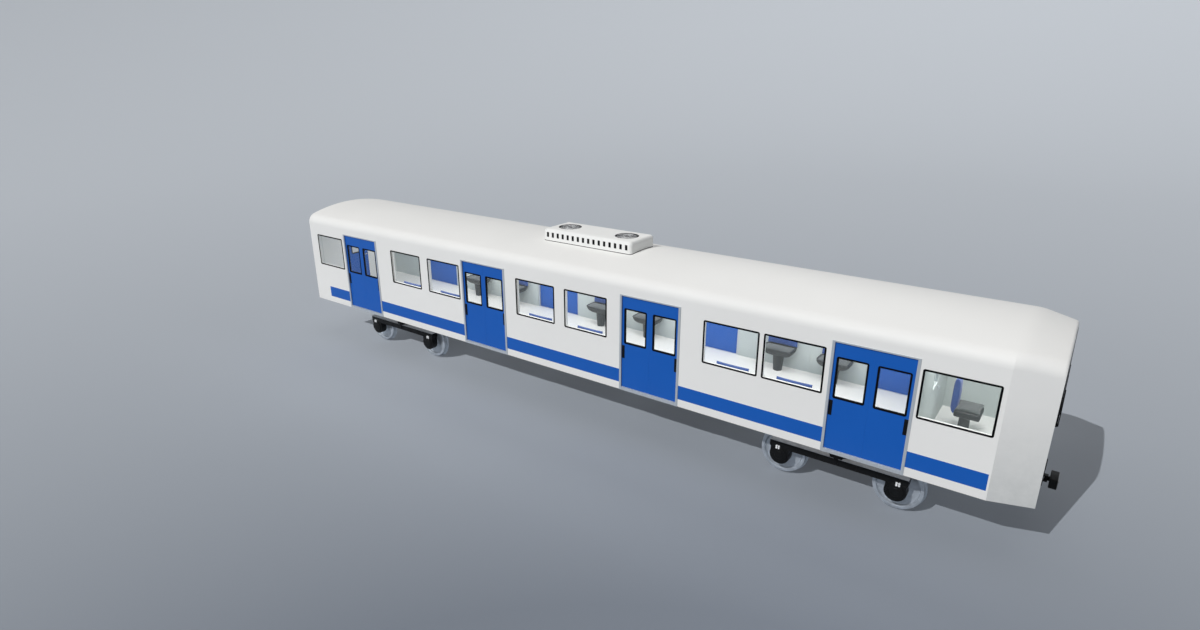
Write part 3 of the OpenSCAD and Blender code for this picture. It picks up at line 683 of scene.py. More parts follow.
def make_nose():
    """Nose shell: rings from its root to the front face, round the top edge as a quarter circle, in
    to the screen's opening, back through the opening and along the inside to the root.
    """
    wall = (wall_t, roof_t, end_t)
    bevel_share = 1 - nose_bevel / nose_l
    outer = [nose_ring(share, (0, 0, 0)) for share in np.linspace(0, bevel_share, 13)]
    inner = [nose_ring(share, wall) for share in np.linspace(0, 1, 13)]
    reach = screen_margin + screen_lap
    hole = section(half_w - nose_taper - reach, crown_z - nose_drop - reach, roof_radius - reach,
                   eave_radius - 0.4 * reach, screen_low + screen_lap)
    edge = []
    for turn in np.linspace(0, math.pi / 2, 7)[1:]:
        share = bevel_share + (1 - bevel_share) * math.sin(turn)
        edge.append(nose_ring(share, (0, 0, 0), nose_bevel * (1 - math.cos(turn)),
                              0.003 * (turn > 1.5)))
    front = edge[-1]
    outside = np.array(outer + edge)
    inside = np.array(inner)
    foot_column = outside.shape[1] - ROOF_STEPS
    keep = slice(0, foot_column + 1)
    face = grid(np.array([front, on_face(hole, 0.0)]), loop_columns=True)
    through = grid(np.array([on_face(hole, 0.0), on_face(hole, -end_t), inside[-1]]), loop_columns=True)
    root = grid(np.array([outside[0], inside[0]])[:, keep])
    last = len(inner) - 1
    feet = [grid(np.stack([outside[:last + 1, k], inside[:, k]])) for k in (0, foot_column)]
    lip = np.arange(foot_column, outside.shape[1] + 1) % outside.shape[1]
    lips = grid(np.array([front[lip], inside[-1][lip]]))
    piece("nose_skin", "car_body",
          [(grid(outside[:, keep]), nose_shaded_paint), (face, nose_shaded_paint), (through, lining_finish),
           (grid(inside[:, keep]), lining_finish), (root, body_paint), (lips, nose_shaded_paint)]
          + [(foot, nose_shaded_paint) for foot in feet], stands_for=["cab_front"], sharp=math.radians(14))


def make_windscreen():
    """Windscreen: the face's outline inset, on a wedge that thins to its top, with a rounded rim, a
    black border and dark glass. Each ring stands out by a share of the wedge's thickness.
    """
    def ring(margin, share):
        flat = section(half_w - nose_taper - margin, crown_z - nose_drop - margin, roof_radius - margin,
                       eave_radius - 0.4 * margin, screen_low + margin - screen_margin)
        return on_face(flat, 0.0004 + (screen_depth(flat[:, 1]) - 0.0004) * share)
    rim = 0.008
    turns = np.linspace(0, math.pi / 2, 4)
    rows = [ring(screen_margin, 0.0)]
    rows += [ring(screen_margin + rim * (1 - math.cos(t)), 0.7 + 0.3 * math.sin(t)) for t in turns]
    border = [rows[-1], ring(screen_margin + 0.055, 1.0), ring(screen_margin + 0.058, 0.9)]
    back = np.array([np.repeat(rows[0].mean(axis=0)[None], len(rows[0]), axis=0), rows[0]])
    middle = np.repeat(border[-1].mean(axis=0)[None], len(rows[0]), axis=0)
    piece("windscreen_glazing", "car_body", [
        (grid(np.array(rows), loop_columns=True), black_rubber),
        (grid(np.array(border), loop_columns=True), black_plastic),
        (grid(back, loop_columns=True), black_plastic),
        (grid(np.array([border[-1], middle]), loop_columns=True), screen_glazing),
    ], stands_for=["windscreen"])


def make_stripe():
    """Blue waist stripe: thin strips with soft edges on the panels between the doors."""
    low, high, proud = 1.198, 1.484, 0.0012
    ends = [(max(a, -8.300), min(b, 8.240)) for a, b in bays]
    strips = [soft_block((a + 0.002, half_w - 0.002, low), (b - 0.002, half_w + proud, high), 0.0006, 1)
              for a, b in ends]
    piece("waist_stripe", "car_body", [(both_sides(joined(strips)), blue_paint)])


def make_window_seals():
    """Black rubber round each side window, from just over the panel in onto the glass."""
    profile = [(0.005, -0.001), (0.004, 0.003), (0.001, 0.0045), (-0.022, 0.0045), (-0.027, 0.003),
               (-0.029, -0.001)]
    seals = [
        frame_round((x, x + window_w, window_z, window_z + window_h), window_corner, profile, 1, half_w)
        for x in window_x
    ]
    piece("side_window_seals", "car_body", [(both_sides(joined(seals)), black_rubber)])


def make_wall_lining():
    """Inner wall panels: round each window a plate from the window's outline to its share of the bay."""
    shares = []
    for low, high in bays:
        inside = [x for x in window_x if low < x < high]
        cuts = [low] + [(a + window_w + b) / 2 for a, b in zip(inside, inside[1:])] + [high]
        shares += list(zip(inside, cuts, cuts[1:]))
    plates = []
    for x, left, right in shares:
        hole = outline(x, x + window_w, window_z, window_z + window_h, window_corner)
        edge = outline(left + 0.002, right - 0.002, floor_z + 0.001, panel_top - 0.001, 0.0005)
        rows = [
            np.stack([flat[:, 0], np.full(len(flat), y), flat[:, 1]], axis=-1)
            for flat, y in ((hole, inner_w - 0.0005), (hole, inner_w - 0.010), (edge, inner_w - 0.010),
                            (edge, inner_w - 0.0005))
        ]
        plates.append(grid(np.array(rows), loop_rows=True, loop_columns=True))
    piece("wall_lining", "car_body", [(both_sides(joined(plates)), lining_finish)])


def make_ceiling_lamps():
    """Two rows of long lamp covers under the roof, each a soft bar."""
    lamps = []
    for x in np.arange(-8.2, 6.6, 1.6):
        lamps.append(soft_block((x, 0.42, crown_z - roof_t - 0.060),
                                (x + 1.45, 0.60, crown_z - roof_t - 0.022), 0.015))
    piece("ceiling_lamps", "car_body", [(both_sides(joined(lamps)), lamp_glow)])


# ---------- doors ----------

def make_leaf_trim(side, door, half):
    """Trim of one leaf: window rubber, glass, the nosing where leaves meet, and a grip plate with
    its handle, each a soft block or a moulding carried round the window.
    """
    sign = SIDES[side]
    body = f"{side}_leaf_{door}_{half}"
    middle = door_x[LEAF_NAMES.index(door)]
    forward = 1 if half == "front" else -1

    def along(a, b):
        return tuple(sorted((middle + forward * a, middle + forward * b)))
    x0, x1 = along(leaf_window[0], leaf_window[1])
    rectangle = (x0, x1, leaf_window[2], leaf_window[3])
    outside = [(0.007, -0.001), (0.006, 0.0025), (-0.024, 0.0025), (-0.028, -0.010), (-0.004, -0.010)]
    inside = [(p, -q - (leaf_out - leaf_in)) for p, q in outside]
    rubber = joined([frame_round(rectangle, window_corner, shape, sign, leaf_out)
                     for shape in (outside, inside)])
    glazing = pane((x0 + 0.004, x1 - 0.004, rectangle[2] + 0.004, rectangle[3] - 0.004), 0.026, sign,
                   leaf_out - 0.020, leaf_out - 0.014)
    grip_x = along(0.571, 0.633)
    grip_z = (1.737, 2.016)
    plate = soft_block((grip_x[0], leaf_out - 0.002, grip_z[0]),
                       (grip_x[1], leaf_out + 0.0020, grip_z[1]), 0.0018)
    pull = soft_block((grip_x[0] + 0.014, leaf_out, grip_z[0] + 0.02),
                      (grip_x[1] - 0.014, leaf_out + 0.0035, grip_z[1] - 0.02), 0.0015)
    handle = joined([plate, pull])
    low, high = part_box(body)
    edge_x = along(0.0003, 0.0025)
    nosing = soft_block((edge_x[0], leaf_in, low[2] + 0.008), (edge_x[1], leaf_out, high[2]), 0.001)
    if sign < 0:
        handle, nosing = mirrored(handle, 1), mirrored(nosing, 1)
    piece(f"{body}_trim", body,
          [(rubber, black_rubber), (glazing, side_glazing), (handle, black_plastic),
           (nosing, blue_paint)])


def make_inner_door_trim(body, x_out, x_in, rim_finish):
    """Rim, glass and lever handle of a swinging door, on both its faces."""
    low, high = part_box(body)
    window_y = (low[1] + 0.105, high[1] - 0.105)
    window_z0, window_z1 = 2.092, 2.792
    outside = [(0.010, 0.0), (0.008, 0.004), (-0.012, 0.004), (-0.016, -0.012), (-0.002, -0.012)]
    frames = []
    for face, sign in ((x_out, math.copysign(1, x_out - x_in)), (x_in, math.copysign(1, x_in - x_out))):
        flat = frame_round((window_y[0], window_y[1], window_z0, window_z1), window_corner, outside, 1,
                           0.0)
        points = np.stack([face + sign * flat[0][:, 1], flat[0][:, 0], flat[0][:, 2]], axis=-1)
        frames.append((points, flat[1]))
    sheet = pane((window_y[0] + 0.002, window_y[1] - 0.002, window_z0 + 0.002, window_z1 - 0.002),
                 0.028, 1,
                 -0.003, 0.003)
    middle = (x_out + x_in) / 2
    glazing = (np.stack([middle + sheet[0][:, 1], sheet[0][:, 0], sheet[0][:, 2]], axis=-1), sheet[1])
    levers = []
    for face, sign in ((x_out, math.copysign(1, x_out - x_in)), (x_in, math.copysign(1, x_in - x_out))):
        handle_y = high[1] - 0.055
        rose = rounded_bar(0.022, 0.0, sign * 0.006, 0.0, 1)
        levers.append(lathe(rose, (face, handle_y, 2.0), 0, 24))
        bend = np.linspace(0, math.pi / 2, 7)
        reach = np.stack([0.020 + 0.016 * np.sin(bend), 0.016 * (1 - np.cos(bend)), 0 * bend], axis=-1)
        path = np.concatenate([[[0.002, 0, 0]], reach, [[0.036, 0.085, 0]]])
        path = path * np.array([sign, -1, 1]) + np.array([face, handle_y, 2.0])
        levers.append(tube(path, 0.007))
    piece(f"{body}_trim", body,
          [(joined(frames), rim_finish), (glazing, side_glazing), (joined(levers), portal_metal)])


# ---------- roof unit ----------

unit_x0, unit_x1 = span("roof_unit", 0)
unit_half = span("roof_unit", 1)[1]
unit_top = span("roof_unit", 2)[1]
unit_mid = (unit_x0 + unit_x1) / 2
unit_edge = 0.074
fan_half = 0.768
well_radius = 0.260
well_depth = 0.120
slot_w, slot_pitch, slot_count = 0.060, 0.140, 16
slot_z = (3.689, 3.799)
slot_depth = 0.024


def roof_height(y):
    """Height of the roof's arch at a distance from the middle."""
    return crown_z - roof_radius + np.sqrt(roof_radius ** 2 - y ** 2)


def make_roof_unit():
    """Roof unit: a rounded rectangle carried up from the roof and drawn in at the top edge, with
    sixteen sunk slots in each long side and a flat top that runs in to the two fan wells.
    """
    starts = unit_mid + (np.arange(slot_count) - (slot_count - 1) / 2) * slot_pitch - slot_w / 2
    breaks = np.sort(np.concatenate([starts, starts + slot_w, [unit_mid]]))
    turn = np.linspace(0, math.pi / 2, 7)
    corner = np.stack([np.cos(turn), np.sin(turn)], axis=-1)
    short = np.linspace(-1, 1, 9)[1:-1]

    def ring(radius):
        """Outline from the middle of the near long side round the front, corners of one radius."""
        reach_x, reach_y = (unit_x1 - unit_x0) / 2 - unit_edge, unit_half - unit_edge
        arcs = [np.array([sx * reach_x, sy * reach_y]) for sx,
                sy in ((1, -1), (1, 1), (-1, 1), (-1, -1))]
        turned = []
        for k, centre in enumerate(arcs):
            a = turn + (k - 1) * math.pi / 2
            turned.append(centre + radius * np.stack([np.cos(a), np.sin(a)], axis=-1))
        near = np.stack([breaks - unit_mid, np.full(len(breaks), -reach_y - radius)], axis=-1)
        far = near[::-1] * np.array([1, -1])
        front = np.stack([np.full(7, reach_x + radius), short * reach_y], axis=-1)
        back = front[::-1] * np.array([-1, 1])
        return np.concatenate([near, turned[0], front, turned[1], far, turned[2], back, turned[3]])

    outer = ring(unit_edge)
    count = len(outer)
    foot = roof_height(np.clip(np.abs(outer[:, 1]), 0, 1)) - 0.004
    levels = [foot, np.full(count, slot_z[0]), np.full(count, slot_z[1]),
              np.full(count, unit_top - unit_edge)]
    rows = [np.column_stack([outer[:, 0] + unit_mid, outer[:, 1], level]) for level in levels]
    for t in np.linspace(0, math.pi / 2, 7)[1:]:
        flat = ring(max(unit_edge * math.cos(t), 1e-5))
        rows.append(np.column_stack([flat[:, 0] + unit_mid, flat[:, 1],
                                     np.full(count, unit_top - unit_edge * (1 - math.sin(t)))]))
    rows = np.array(rows)
    keep = np.ones((len(rows) - 1, count), bool)
    near_cells = np.arange(len(breaks) - 1)
    middles = (breaks[:-1] + breaks[1:]) / 2
    in_slot = (np.abs(middles[:, None] - (starts + slot_w / 2)[None, :]) < slot_w / 2).any(axis=1)
    far_start = len(breaks) + 7 + 7 + 7
    keep[1, near_cells[in_slot]] = False
    keep[1, far_start + (len(breaks) - 2 - near_cells[in_slot])] = False
    body = grid(rows, loop_columns=True, keep=keep)
    seal_line = ring(unit_edge + 0.004)
    seal_foot = roof_height(np.clip(np.abs(seal_line[:, 1]), 0, 1))
    seal = grid(np.array([
        np.column_stack([flat[:, 0] + unit_mid, flat[:, 1], seal_foot + rise])
        for flat, rise in ((seal_line, -0.002), (seal_line, 0.010), (outer, 0.012))
    ]), loop_columns=True)

    # Each slot is a box open to the outside: its four walls and its floor
    hollows = []
    for x in starts:
        rectangle = np.array([[x, slot_z[0]], [x + slot_w, slot_z[0]], [x + slot_w, slot_z[1]],
                              [x, slot_z[1]]])
        ring_rows = [np.column_stack([rectangle[:, 0], np.full(4, y), rectangle[:, 1]])
                     for y in (unit_half, unit_half - slot_depth)]
        middle = np.repeat(ring_rows[-1].mean(axis=0)[None], 4, axis=0)
        hollows.append(grid(np.array(ring_rows + [middle]), loop_columns=True))
    hollows = both_sides(joined(hollows))

    # Flat top: from the last ring in to each well's rim, one half of the top at a time
    top = rows[-1]
    lids = []
    for s in (-1, 1):
        on_half = (top[:, 0] - unit_mid) * s > -1e-6
        edge = top[on_half]
        centre = np.array([unit_mid + s * fan_half, 0.0])
        seam_y = np.linspace(-unit_half + unit_edge, unit_half - unit_edge, 9)[1:-1]
        seam = np.column_stack([np.full(7, unit_mid), seam_y, np.full(7, unit_top)])
        edge = np.concatenate([edge, seam])
        angle = np.arctan2(edge[:, 1] - centre[1], edge[:, 0] - centre[0])
        order = np.argsort(angle)
        edge, angle = edge[order], angle[order]

        def rim(radius, z):
            return np.column_stack([centre[0] + radius * np.cos(angle), radius * np.sin(angle),
                                    np.full(len(angle), z)])
        floor_z_of_well = unit_top - well_depth
        lids.append((grid(np.array([edge, rim(well_radius, unit_top)]), loop_columns=True), unit_paint))
        walls = np.array([rim(well_radius, unit_top), rim(well_radius, floor_z_of_well),
                          rim(1e-5, floor_z_of_well)])
        lids.append((grid(walls, loop_columns=True), black_plastic))
    piece("roof_unit_case", "car_body",
          [(body, unit_paint), (hollows, black_plastic), (seal, black_rubber)] + lids,
          stands_for=["roof_unit"])


def make_fan(end, x):
    """Fan of five pitched blades on a hub. A blade is a sheet over radius and chord: its chord turns
    from steep at the hub to shallow at the tip, and it has a thickness that fades at the edges.
    """
    z = unit_top - 0.052
    radius = np.linspace(0.044, 0.235, 12)[:, None]
    chord = np.linspace(-1, 1, 9)[None, :]
    pitch = np.radians(38 - 20 * (radius - 0.044) / 0.191)
    half_chord = 0.045 + 0.018 * (radius - 0.044) / 0.191
    arc = chord * half_chord * np.cos(pitch) / radius
    lift = chord * half_chord * np.sin(pitch)
    thick = 0.0025 * (1 - chord ** 2) + 0.0004
    sheets = [
        np.stack(np.broadcast_arrays(radius * np.cos(arc), radius * np.sin(arc), lift + s * thick),
                 axis=-1)
        for s in (1, -1)
    ]
    rim = np.concatenate([sheets[0], sheets[1][:, ::-1]], axis=1)
    blade = grid(closed_ends(rim), loop_columns=True)
    blades = []
    for k in range(5):
        a = k * 2 * math.pi / 5
        turn = np.array([[math.cos(a), -math.sin(a), 0], [math.sin(a), math.cos(a), 0], [0, 0, 1]])
        blades.append(moved((blade[0] @ turn.T, blade[1]), (x, 0, z)))
    hub = lathe(rounded_bar(0.048, -0.026, 0.022, 0.008), (x, 0, z), 2, 32)
    piece(f"{end}_fan_rotor", f"{end}_roof_fan",
          [(joined(blades), black_plastic), (hub, black_plastic)], stands_for=[f"{end}_roof_fan"])


def make_fan_guards():
    """Guard of each fan: a flanged ring, round wires one inside the other, and radial bars."""
    parts, bars = [], []
    for s in (-1, 1):
        x = unit_mid + s * fan_half
        top = unit_top - 0.001
        flange = [[well_radius - 0.022, -0.010], [well_radius - 0.022, -0.001],
                  [well_radius - 0.006, 0.0],
                  [well_radius - 0.002, -0.002], [well_radius - 0.002, -0.012],
                  [well_radius - 0.022, -0.010]]
        parts.append(lathe(flange, (x, 0, top), 2, 64))
        turn = np.linspace(0, 2 * math.pi, 9)
        for r in np.arange(0.060, 0.235, 0.025):
            wire = np.stack([r + 0.002 * np.cos(turn), -0.005 + 0.002 * np.sin(turn)], axis=-1)
            bars.append(lathe(wire, (x, 0, top), 2, 40))
        for a in np.arange(8) * math.pi / 4:
            ends = np.array([[x + r * math.cos(a), r * math.sin(a), top - 0.009] for r in (0.05, 0.14,
                                                                                           0.24)])
            bars.append(tube(ends, 0.003, 6))
        parts.append(lathe(rounded_bar(0.052, -0.012, -0.002, 0.004), (x, 0, top), 2, 32))
    piece("fan_guards", "car_body",
          [(joined(parts), black_plastic), (joined(bars), bright_steel)])


# ---------- running gear ----------

def make_wheelset(body):
    """Axle with two wheels, turned from one profile: journals, hubs, dished webs, rims and flanges.

    The distance of each point from the axle's line is kept on the mesh, for the turning marks.
    """
    low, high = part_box(body)
    centre = np.array([(low[0] + high[0]) / 2, 0.0, (low[2] + high[2]) / 2])
    tread, flange = 0.430, 0.458
    inner_face, outer_face, end = 0.680, 0.810, 0.985
    web = 0.740
    half_profile = [
        (0.0, end), (0.058, end), (0.065, end - 0.006), (0.065, outer_face + 0.012),
        (0.118, outer_face + 0.008),
        (0.125, outer_face), (0.127, web + 0.046), (0.140, web + 0.032), (0.180, web + 0.022),
        (0.250, web + 0.013), (0.320, web + 0.017), (0.350, web + 0.026), (0.362, web + 0.045),
        (0.366, outer_face - 0.006), (0.372, outer_face), (tread - 0.010, outer_face),
        (tread - 0.003, outer_face - 0.004), (tread - 0.001, outer_face - 0.012),
        (tread, outer_face - 0.050),
        (tread, inner_face + 0.044), (tread + 0.004, inner_face + 0.034),
        (tread + 0.018, inner_face + 0.026),
        (flange - 0.003, inner_face + 0.020), (flange, inner_face + 0.013),
        (flange - 0.003, inner_face + 0.006),
        (tread + 0.006, inner_face + 0.001), (tread - 0.010, inner_face), (0.372, inner_face),
        (0.362, inner_face + 0.010), (0.350, web - 0.024), (0.250, web - 0.020), (0.160, web - 0.030),
        (0.128, web - 0.050), (0.120, inner_face - 0.016), (0.100, inner_face - 0.022),
        (0.080, inner_face - 0.040),
        (0.080, 0.0),
    ]
    half = np.array(half_profile)
    profile = np.concatenate([half, half[-2::-1] * np.array([1, -1])])
    turned = lathe(profile, centre, 1, 96)
    made = piece(f"{body}_wheels", body, [(turned, wheel_steel)], stands_for=[body],
                 sharp=math.radians(40))
    place = np.zeros(len(made.data.vertices) * 3)
    made.data.vertices.foreach_get("co", place)
    place = place.reshape(-1, 3)
    radius = np.hypot(place[:, 0] - centre[0], place[:, 2] - centre[2])
    made.data.attributes.new("turning_radius", "FLOAT", "POINT").data.foreach_set("value",
                                                                                  radius.astype(np.float32))


def make_bogie(end):
    """Bogie frame with its axle boxes: plated side beams, a transom, round boxes with bolted covers."""
    x = bogie_x[end]
    plate = 0.014
    beam = soft_block((x - beam_half, beam_in, beam_low + plate),
                      (x + beam_half, beam_out - 0.004, beam_high - plate), 0.006)
    cover = soft_block((x - beam_half, beam_in - 0.006, beam_high - plate),
                       (x + beam_half, beam_out, beam_high), 0.003)
    under = soft_block((x - beam_half + 0.01, beam_in, beam_low),
                       (x + beam_half - 0.01, beam_out, beam_low + plate), 0.003)
    ribs = [
        soft_block((x + dx - 0.006, beam_out - 0.006, beam_low + plate),
                   (x + dx + 0.006, beam_out + 0.001, beam_high - plate), 0.002)
        for dx in (-0.72, -0.36, 0.36, 0.72)
    ]
    stop = soft_block((x - 0.11, beam_out - 0.10, beam_high),
                      (x + 0.11, beam_out + 0.015, beam_high + 0.060), 0.010)
    arm = soft_block((x - 0.04, beam_out - 0.01, beam_low + 0.03),
                     (x + 0.04, beam_out + 0.012, beam_high + 0.02), 0.005)
    sides = both_sides(joined([beam, under, stop, arm] + ribs))
    covers = both_sides(cover)
    transom = soft_block((x - 0.26, -beam_in, beam_low + 0.004), (x + 0.26, beam_in, beam_high - 0.004),
                         0.012)
    piece(f"{end}_bogie_beams", f"{end}_bogie",
          [(joined([sides, transom]), chassis_black), (covers, chassis_top)],
          stands_for=[f"{end}_bogie_frame"])

    boxes, bright = [], []
    for k in (-1, 1):
        axle = np.array([x + k * half_base, 0.0, axle_z])
        box = [[0.070, beam_in], [0.178, beam_in], [0.188, beam_in + 0.010], [0.190, beam_in + 0.020],
               [0.190, beam_out - 0.030], [0.187, beam_out - 0.014], [0.178, beam_out - 0.006],
               [0.150, beam_out - 0.004], [0.146, beam_out + 0.008], [0.138, beam_out + 0.012],
               [0.080, beam_out + 0.014], [0.074, beam_out + 0.020], [0, beam_out + 0.021]]
        boxes.append(lathe([[0, beam_in]] + box, axle, 1, 64))
        boxes.append(ring_of(lambda p: bolt_head(p, 0.011, 0.009, 1),
                             axle + np.array([0, beam_out + 0.011, 0]),
                             0.118, 8, 1))
        saddle = soft_block((axle[0] - 0.175, beam_in, axle_z + 0.05),
                            (axle[0] + 0.175, beam_out - 0.006, beam_low + 0.002), 0.006)
        boxes.append(saddle)
        for dx in (0.012, 0.056):
            for z in (beam_low - 0.004, beam_low + 0.034):
                place = (axle[0] + k * dx, beam_out - 0.004, z)
                bright.append(bolt_head(place, 0.020, 0.022, 1))
    piece(f"{end}_axle_box_covers", f"{end}_bogie",
          [(both_sides(joined(boxes)), chassis_black), (both_sides(joined(bright)), bright_steel)],
          stands_for=[f"{end}_axle_boxes"])


def make_air_springs(end):
    """Air springs: bellows whose radius swells twice with the height, between a foot and a top plate."""
    low, high = span(f"{end}_air_springs", 2)
    x = bogie_x[end]
    height = np.linspace(0, 1, 25)
    radius = 0.185 + 0.042 * np.abs(np.sin(2 * math.pi * height)) ** 0.8
    bellows = np.stack([radius, low + 0.016 + (high - low - 0.032) * height], axis=-1)
    profile = np.concatenate([[[0, low], [0.215, low], [0.220, low + 0.004], [0.220, low + 0.016]],
                              bellows,
                              [[0.220, high - 0.016], [0.220, high - 0.003], [0.215, high], [0, high]]])
    spring = lathe(profile, (x, 0.770, 0), 2, 48)
    piece(f"{end}_air_bellows", f"{end}_bogie", [(both_sides(spring), black_rubber)],
          stands_for=[f"{end}_air_springs"])


def make_motors(end):
    """Traction motors: a ribbed barrel across the car with end bells, and a nose bracket."""
    low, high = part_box(f"{end}_motors")
    x = bogie_x[end]
    parts = []
    for s in (-1, 1):
        centre_x = x + s * ((high[0] - low[0]) / 2 - 0.20)
        axis_z = low[2] + 0.185
        along = np.linspace(-0.24, 0.24, 49)
        ribbed = 0.165 + 0.008 * (np.cos(along * 2 * math.pi / 0.048) > 0)
        barrel = np.stack([ribbed, along], axis=-1)
        bells = [[0, -0.325], [0.085, -0.325], [0.110, -0.305], [0.150, -0.275], [0.165, -0.245]]
        bells_end = [[r, -a] for r, a in bells[::-1]]
        parts.append(lathe(np.concatenate([bells, barrel, bells_end]), (centre_x, 0, axis_z), 1, 40))
        reach = (centre_x, x + s * 0.255)
        parts.append(soft_block((min(reach), -0.16, axis_z + 0.02), (max(reach), 0.16, high[2]), 0.02))
    piece(f"{end}_motor_barrels", f"{end}_bogie", [(joined(parts), case_grey)],
          stands_for=[f"{end}_motors"])


# ---------- couplers and under the floor ----------

def make_coupler(end):
    """Coupler head: a soft block with a face plate, a guide ring, a plug and corner bolts."""
    low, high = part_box(f"{end}_coupler")
    s = 1 if end == "front" else -1
    tip = high[0] if end == "front" else -low[0]
    back, mid_z = tip - 0.130, (low[2] + high[2]) / 2
    half_width, half_height = high[1], (high[2] - low[2]) / 2
    pivot = 8.954
    head = soft_block((back, -half_width, mid_z - half_height),
                      (tip - 0.012, half_width, mid_z + half_height), 0.014)
    plate = soft_block((tip - 0.014, -half_width + 0.014, mid_z - half_height + 0.014),
                       (tip - 0.003, half_width - 0.014, mid_z + half_height - 0.014), 0.004)
    ring = lathe([[0.030, -0.004], [0.052, -0.004], [0.056, 0.001], [0.050, 0.0028], [0.034, 0.0028],
                  [0.030, -0.004]],
                 (tip - 0.003, 0.085, mid_z), 0, 40)
    plug = lathe(rounded_bar(0.040, -0.004, 0.0028, 0.002), (tip - 0.003, -0.085, mid_z), 0, 40)
    bolts = [bolt_head((tip - 0.004, y, mid_z + z), 0.009, 0.0035, 0)
             for y in (-half_width + 0.03, 0, half_width - 0.03) for z in (-0.055, 0.055)]
    shank = soft_block((pivot + 0.02, -0.030, mid_z - 0.034), (back + 0.01, 0.030, mid_z + 0.034),
                       0.010)
    eye = lathe([[0.0225, -0.034], [0.031, -0.034], [0.034, -0.031], [0.034, 0.031], [0.031, 0.034],
                 [0.0225, 0.034], [0.0225, -0.034]], (pivot, 0, mid_z), 2, 40)
    metal = joined([head, shank, eye])
    faces = joined([plate, ring, plug] + bolts)
    if s < 0:
        metal, faces = mirrored(metal, 0), mirrored(faces, 0)
    piece(f"{end}_coupler_head", f"{end}_coupler",
          [(metal, chassis_black), (faces, chassis_top)], stands_for=[f"{end}_coupler"])


def make_cases():
    """Underfloor cases: soft boxes with hinged doors, latches, louvres and hanging straps."""
    shells, lids, fittings = [], [], []
    low_z, high_z = span("underfloor_cases", 2)
    half = span("underfloor_cases", 1)[1]
    for start, length in ((-3.600, 1.500), (-1.400, 1.900), (1.300, 2.200)):
        shells.append(soft_block((start, -half + 0.014, low_z), (start + length, half - 0.014, high_z),
                                 0.020))
        doors = int(round(length / 0.72))
        step = length / doors
        for k in range(doors):
            a, b = start + k * step + 0.02, start + (k + 1) * step - 0.02
            lids.append(soft_block((a, half - 0.016, low_z + 0.03), (b, half - 0.004, high_z - 0.03),
                                   0.004))
            for z in np.arange(low_z + 0.07, high_z - 0.08, 0.024):
                if k % 2 == 0:
                    lids.append(soft_block((a + 0.08, half - 0.008, z), (b - 0.08, half, z + 0.010),
                                           0.003, 1))
            for x in (a + 0.05, b - 0.05):
                fittings.append(soft_block((x - 0.012, half - 0.006, high_z - 0.075),
                                           (x + 0.012, half + 0.004, high_z - 0.045), 0.003))
        for x in (start + 0.12, start + length - 0.12):
            fittings.append(soft_block((x - 0.025, -half - 0.002, low_z - 0.008),
                                       (x + 0.025, half + 0.002, low_z + 0.004), 0.003))
    piece("case_shells", "car_body",
          [(joined(shells), case_grey), (both_sides(joined(lids)), case_grey),
           (joined(fittings), chassis_top)],
          stands_for=["underfloor_cases"])


# ---------- lamps ----------

def make_lamps():
    """Head and tail lamps: a bezel ring round a domed lens, on the leaning face and on the rear wall."""
    bezels, clear, red = [], [], []
    for y in (-0.903, 0.903):
        low = span("head_lights", 2)
        z = (low[0] + low[1]) / 2
        face = on_face(np.array([[y, z]]), 0.0)[0]
        bezels.append(lathe([[0.074, 0.0], [0.094, 0.0], [0.093, 0.010], [0.086, 0.014], [0.078, 0.012],
                             [0.074, 0.0]], face, 0, 48))
        r = np.linspace(0, 0.075, 8)
        dome = np.stack([r, 0.002 + 0.012 * np.sqrt(1 - (r / 0.0755) ** 2)], axis=-1)
        clear.append(lathe(np.concatenate([dome, [[0.075, 0.0], [0, 0.0]]]), face, 0, 48))
    for y in (-1.050, 1.050):
        low = span("tail_lights", 2)
        face = np.array([-half_l, y, (low[0] + low[1]) / 2])
        bezels.append(lathe([[0.059, 0.0], [0.076, 0.0], [0.075, -0.008], [0.069, -0.011],
                             [0.062, -0.010],
                             [0.059, 0.0]], face, 0, 48))
        r = np.linspace(0, 0.060, 8)
        dome = np.stack([r, -0.002 - 0.009 * np.sqrt(1 - (r / 0.0605) ** 2)], axis=-1)
        red.append(lathe(np.concatenate([dome, [[0.060, 0.0], [0, 0.0]]]), face, 0, 48))
    piece("lamp_lenses", "car_body",
          [(joined(bezels), black_plastic), (joined(clear), clear_lens), (joined(red), red_lens)],
          stands_for=["head_lights", "tail_lights"])


def make_wiper():
    """Windscreen wiper: a pivot boss below the glass, a tapering arm and a blade that lies on it."""
    def at(y, z, depth):
        return on_face(np.array([[y, z]]), depth)[0]
    foot_y, foot_z = -0.93, screen_low - 0.035
    foot = at(foot_y, foot_z, 0.0)
    boss = lathe(rounded_bar(0.026, -0.002, 0.040, 0.006), foot, 0, 24)
    arm_z = (foot_z + 0.14, foot_z + 0.46)
    arm = tube(np.array([at(foot_y, foot_z, 0.032),
                         at(foot_y + 0.08, arm_z[0], screen_depth(arm_z[0]) + 0.013),
                         at(foot_y + 0.26, arm_z[1], screen_depth(arm_z[1]) + 0.013)]), 0.006, 8)
    share = np.linspace(0, 1, 9)[:, None]
    blade_y = foot_y + 0.08 + 0.36 * share[:, 0]
    blade_z = foot_z + 0.12 + 0.68 * share[:, 0]
    blade = tube(on_face(np.stack([blade_y, blade_z], axis=-1), screen_depth(blade_z) + 0.006), 0.005,
                 8)
    piece("windscreen_wiper", "car_body",
          [(joined([boss, arm, blade]), black_plastic)])


# ---------- inside ----------

seat_x = [window_x[k] + window_w / 2 for k in (1, 2, 3, 4, 5, 6)]


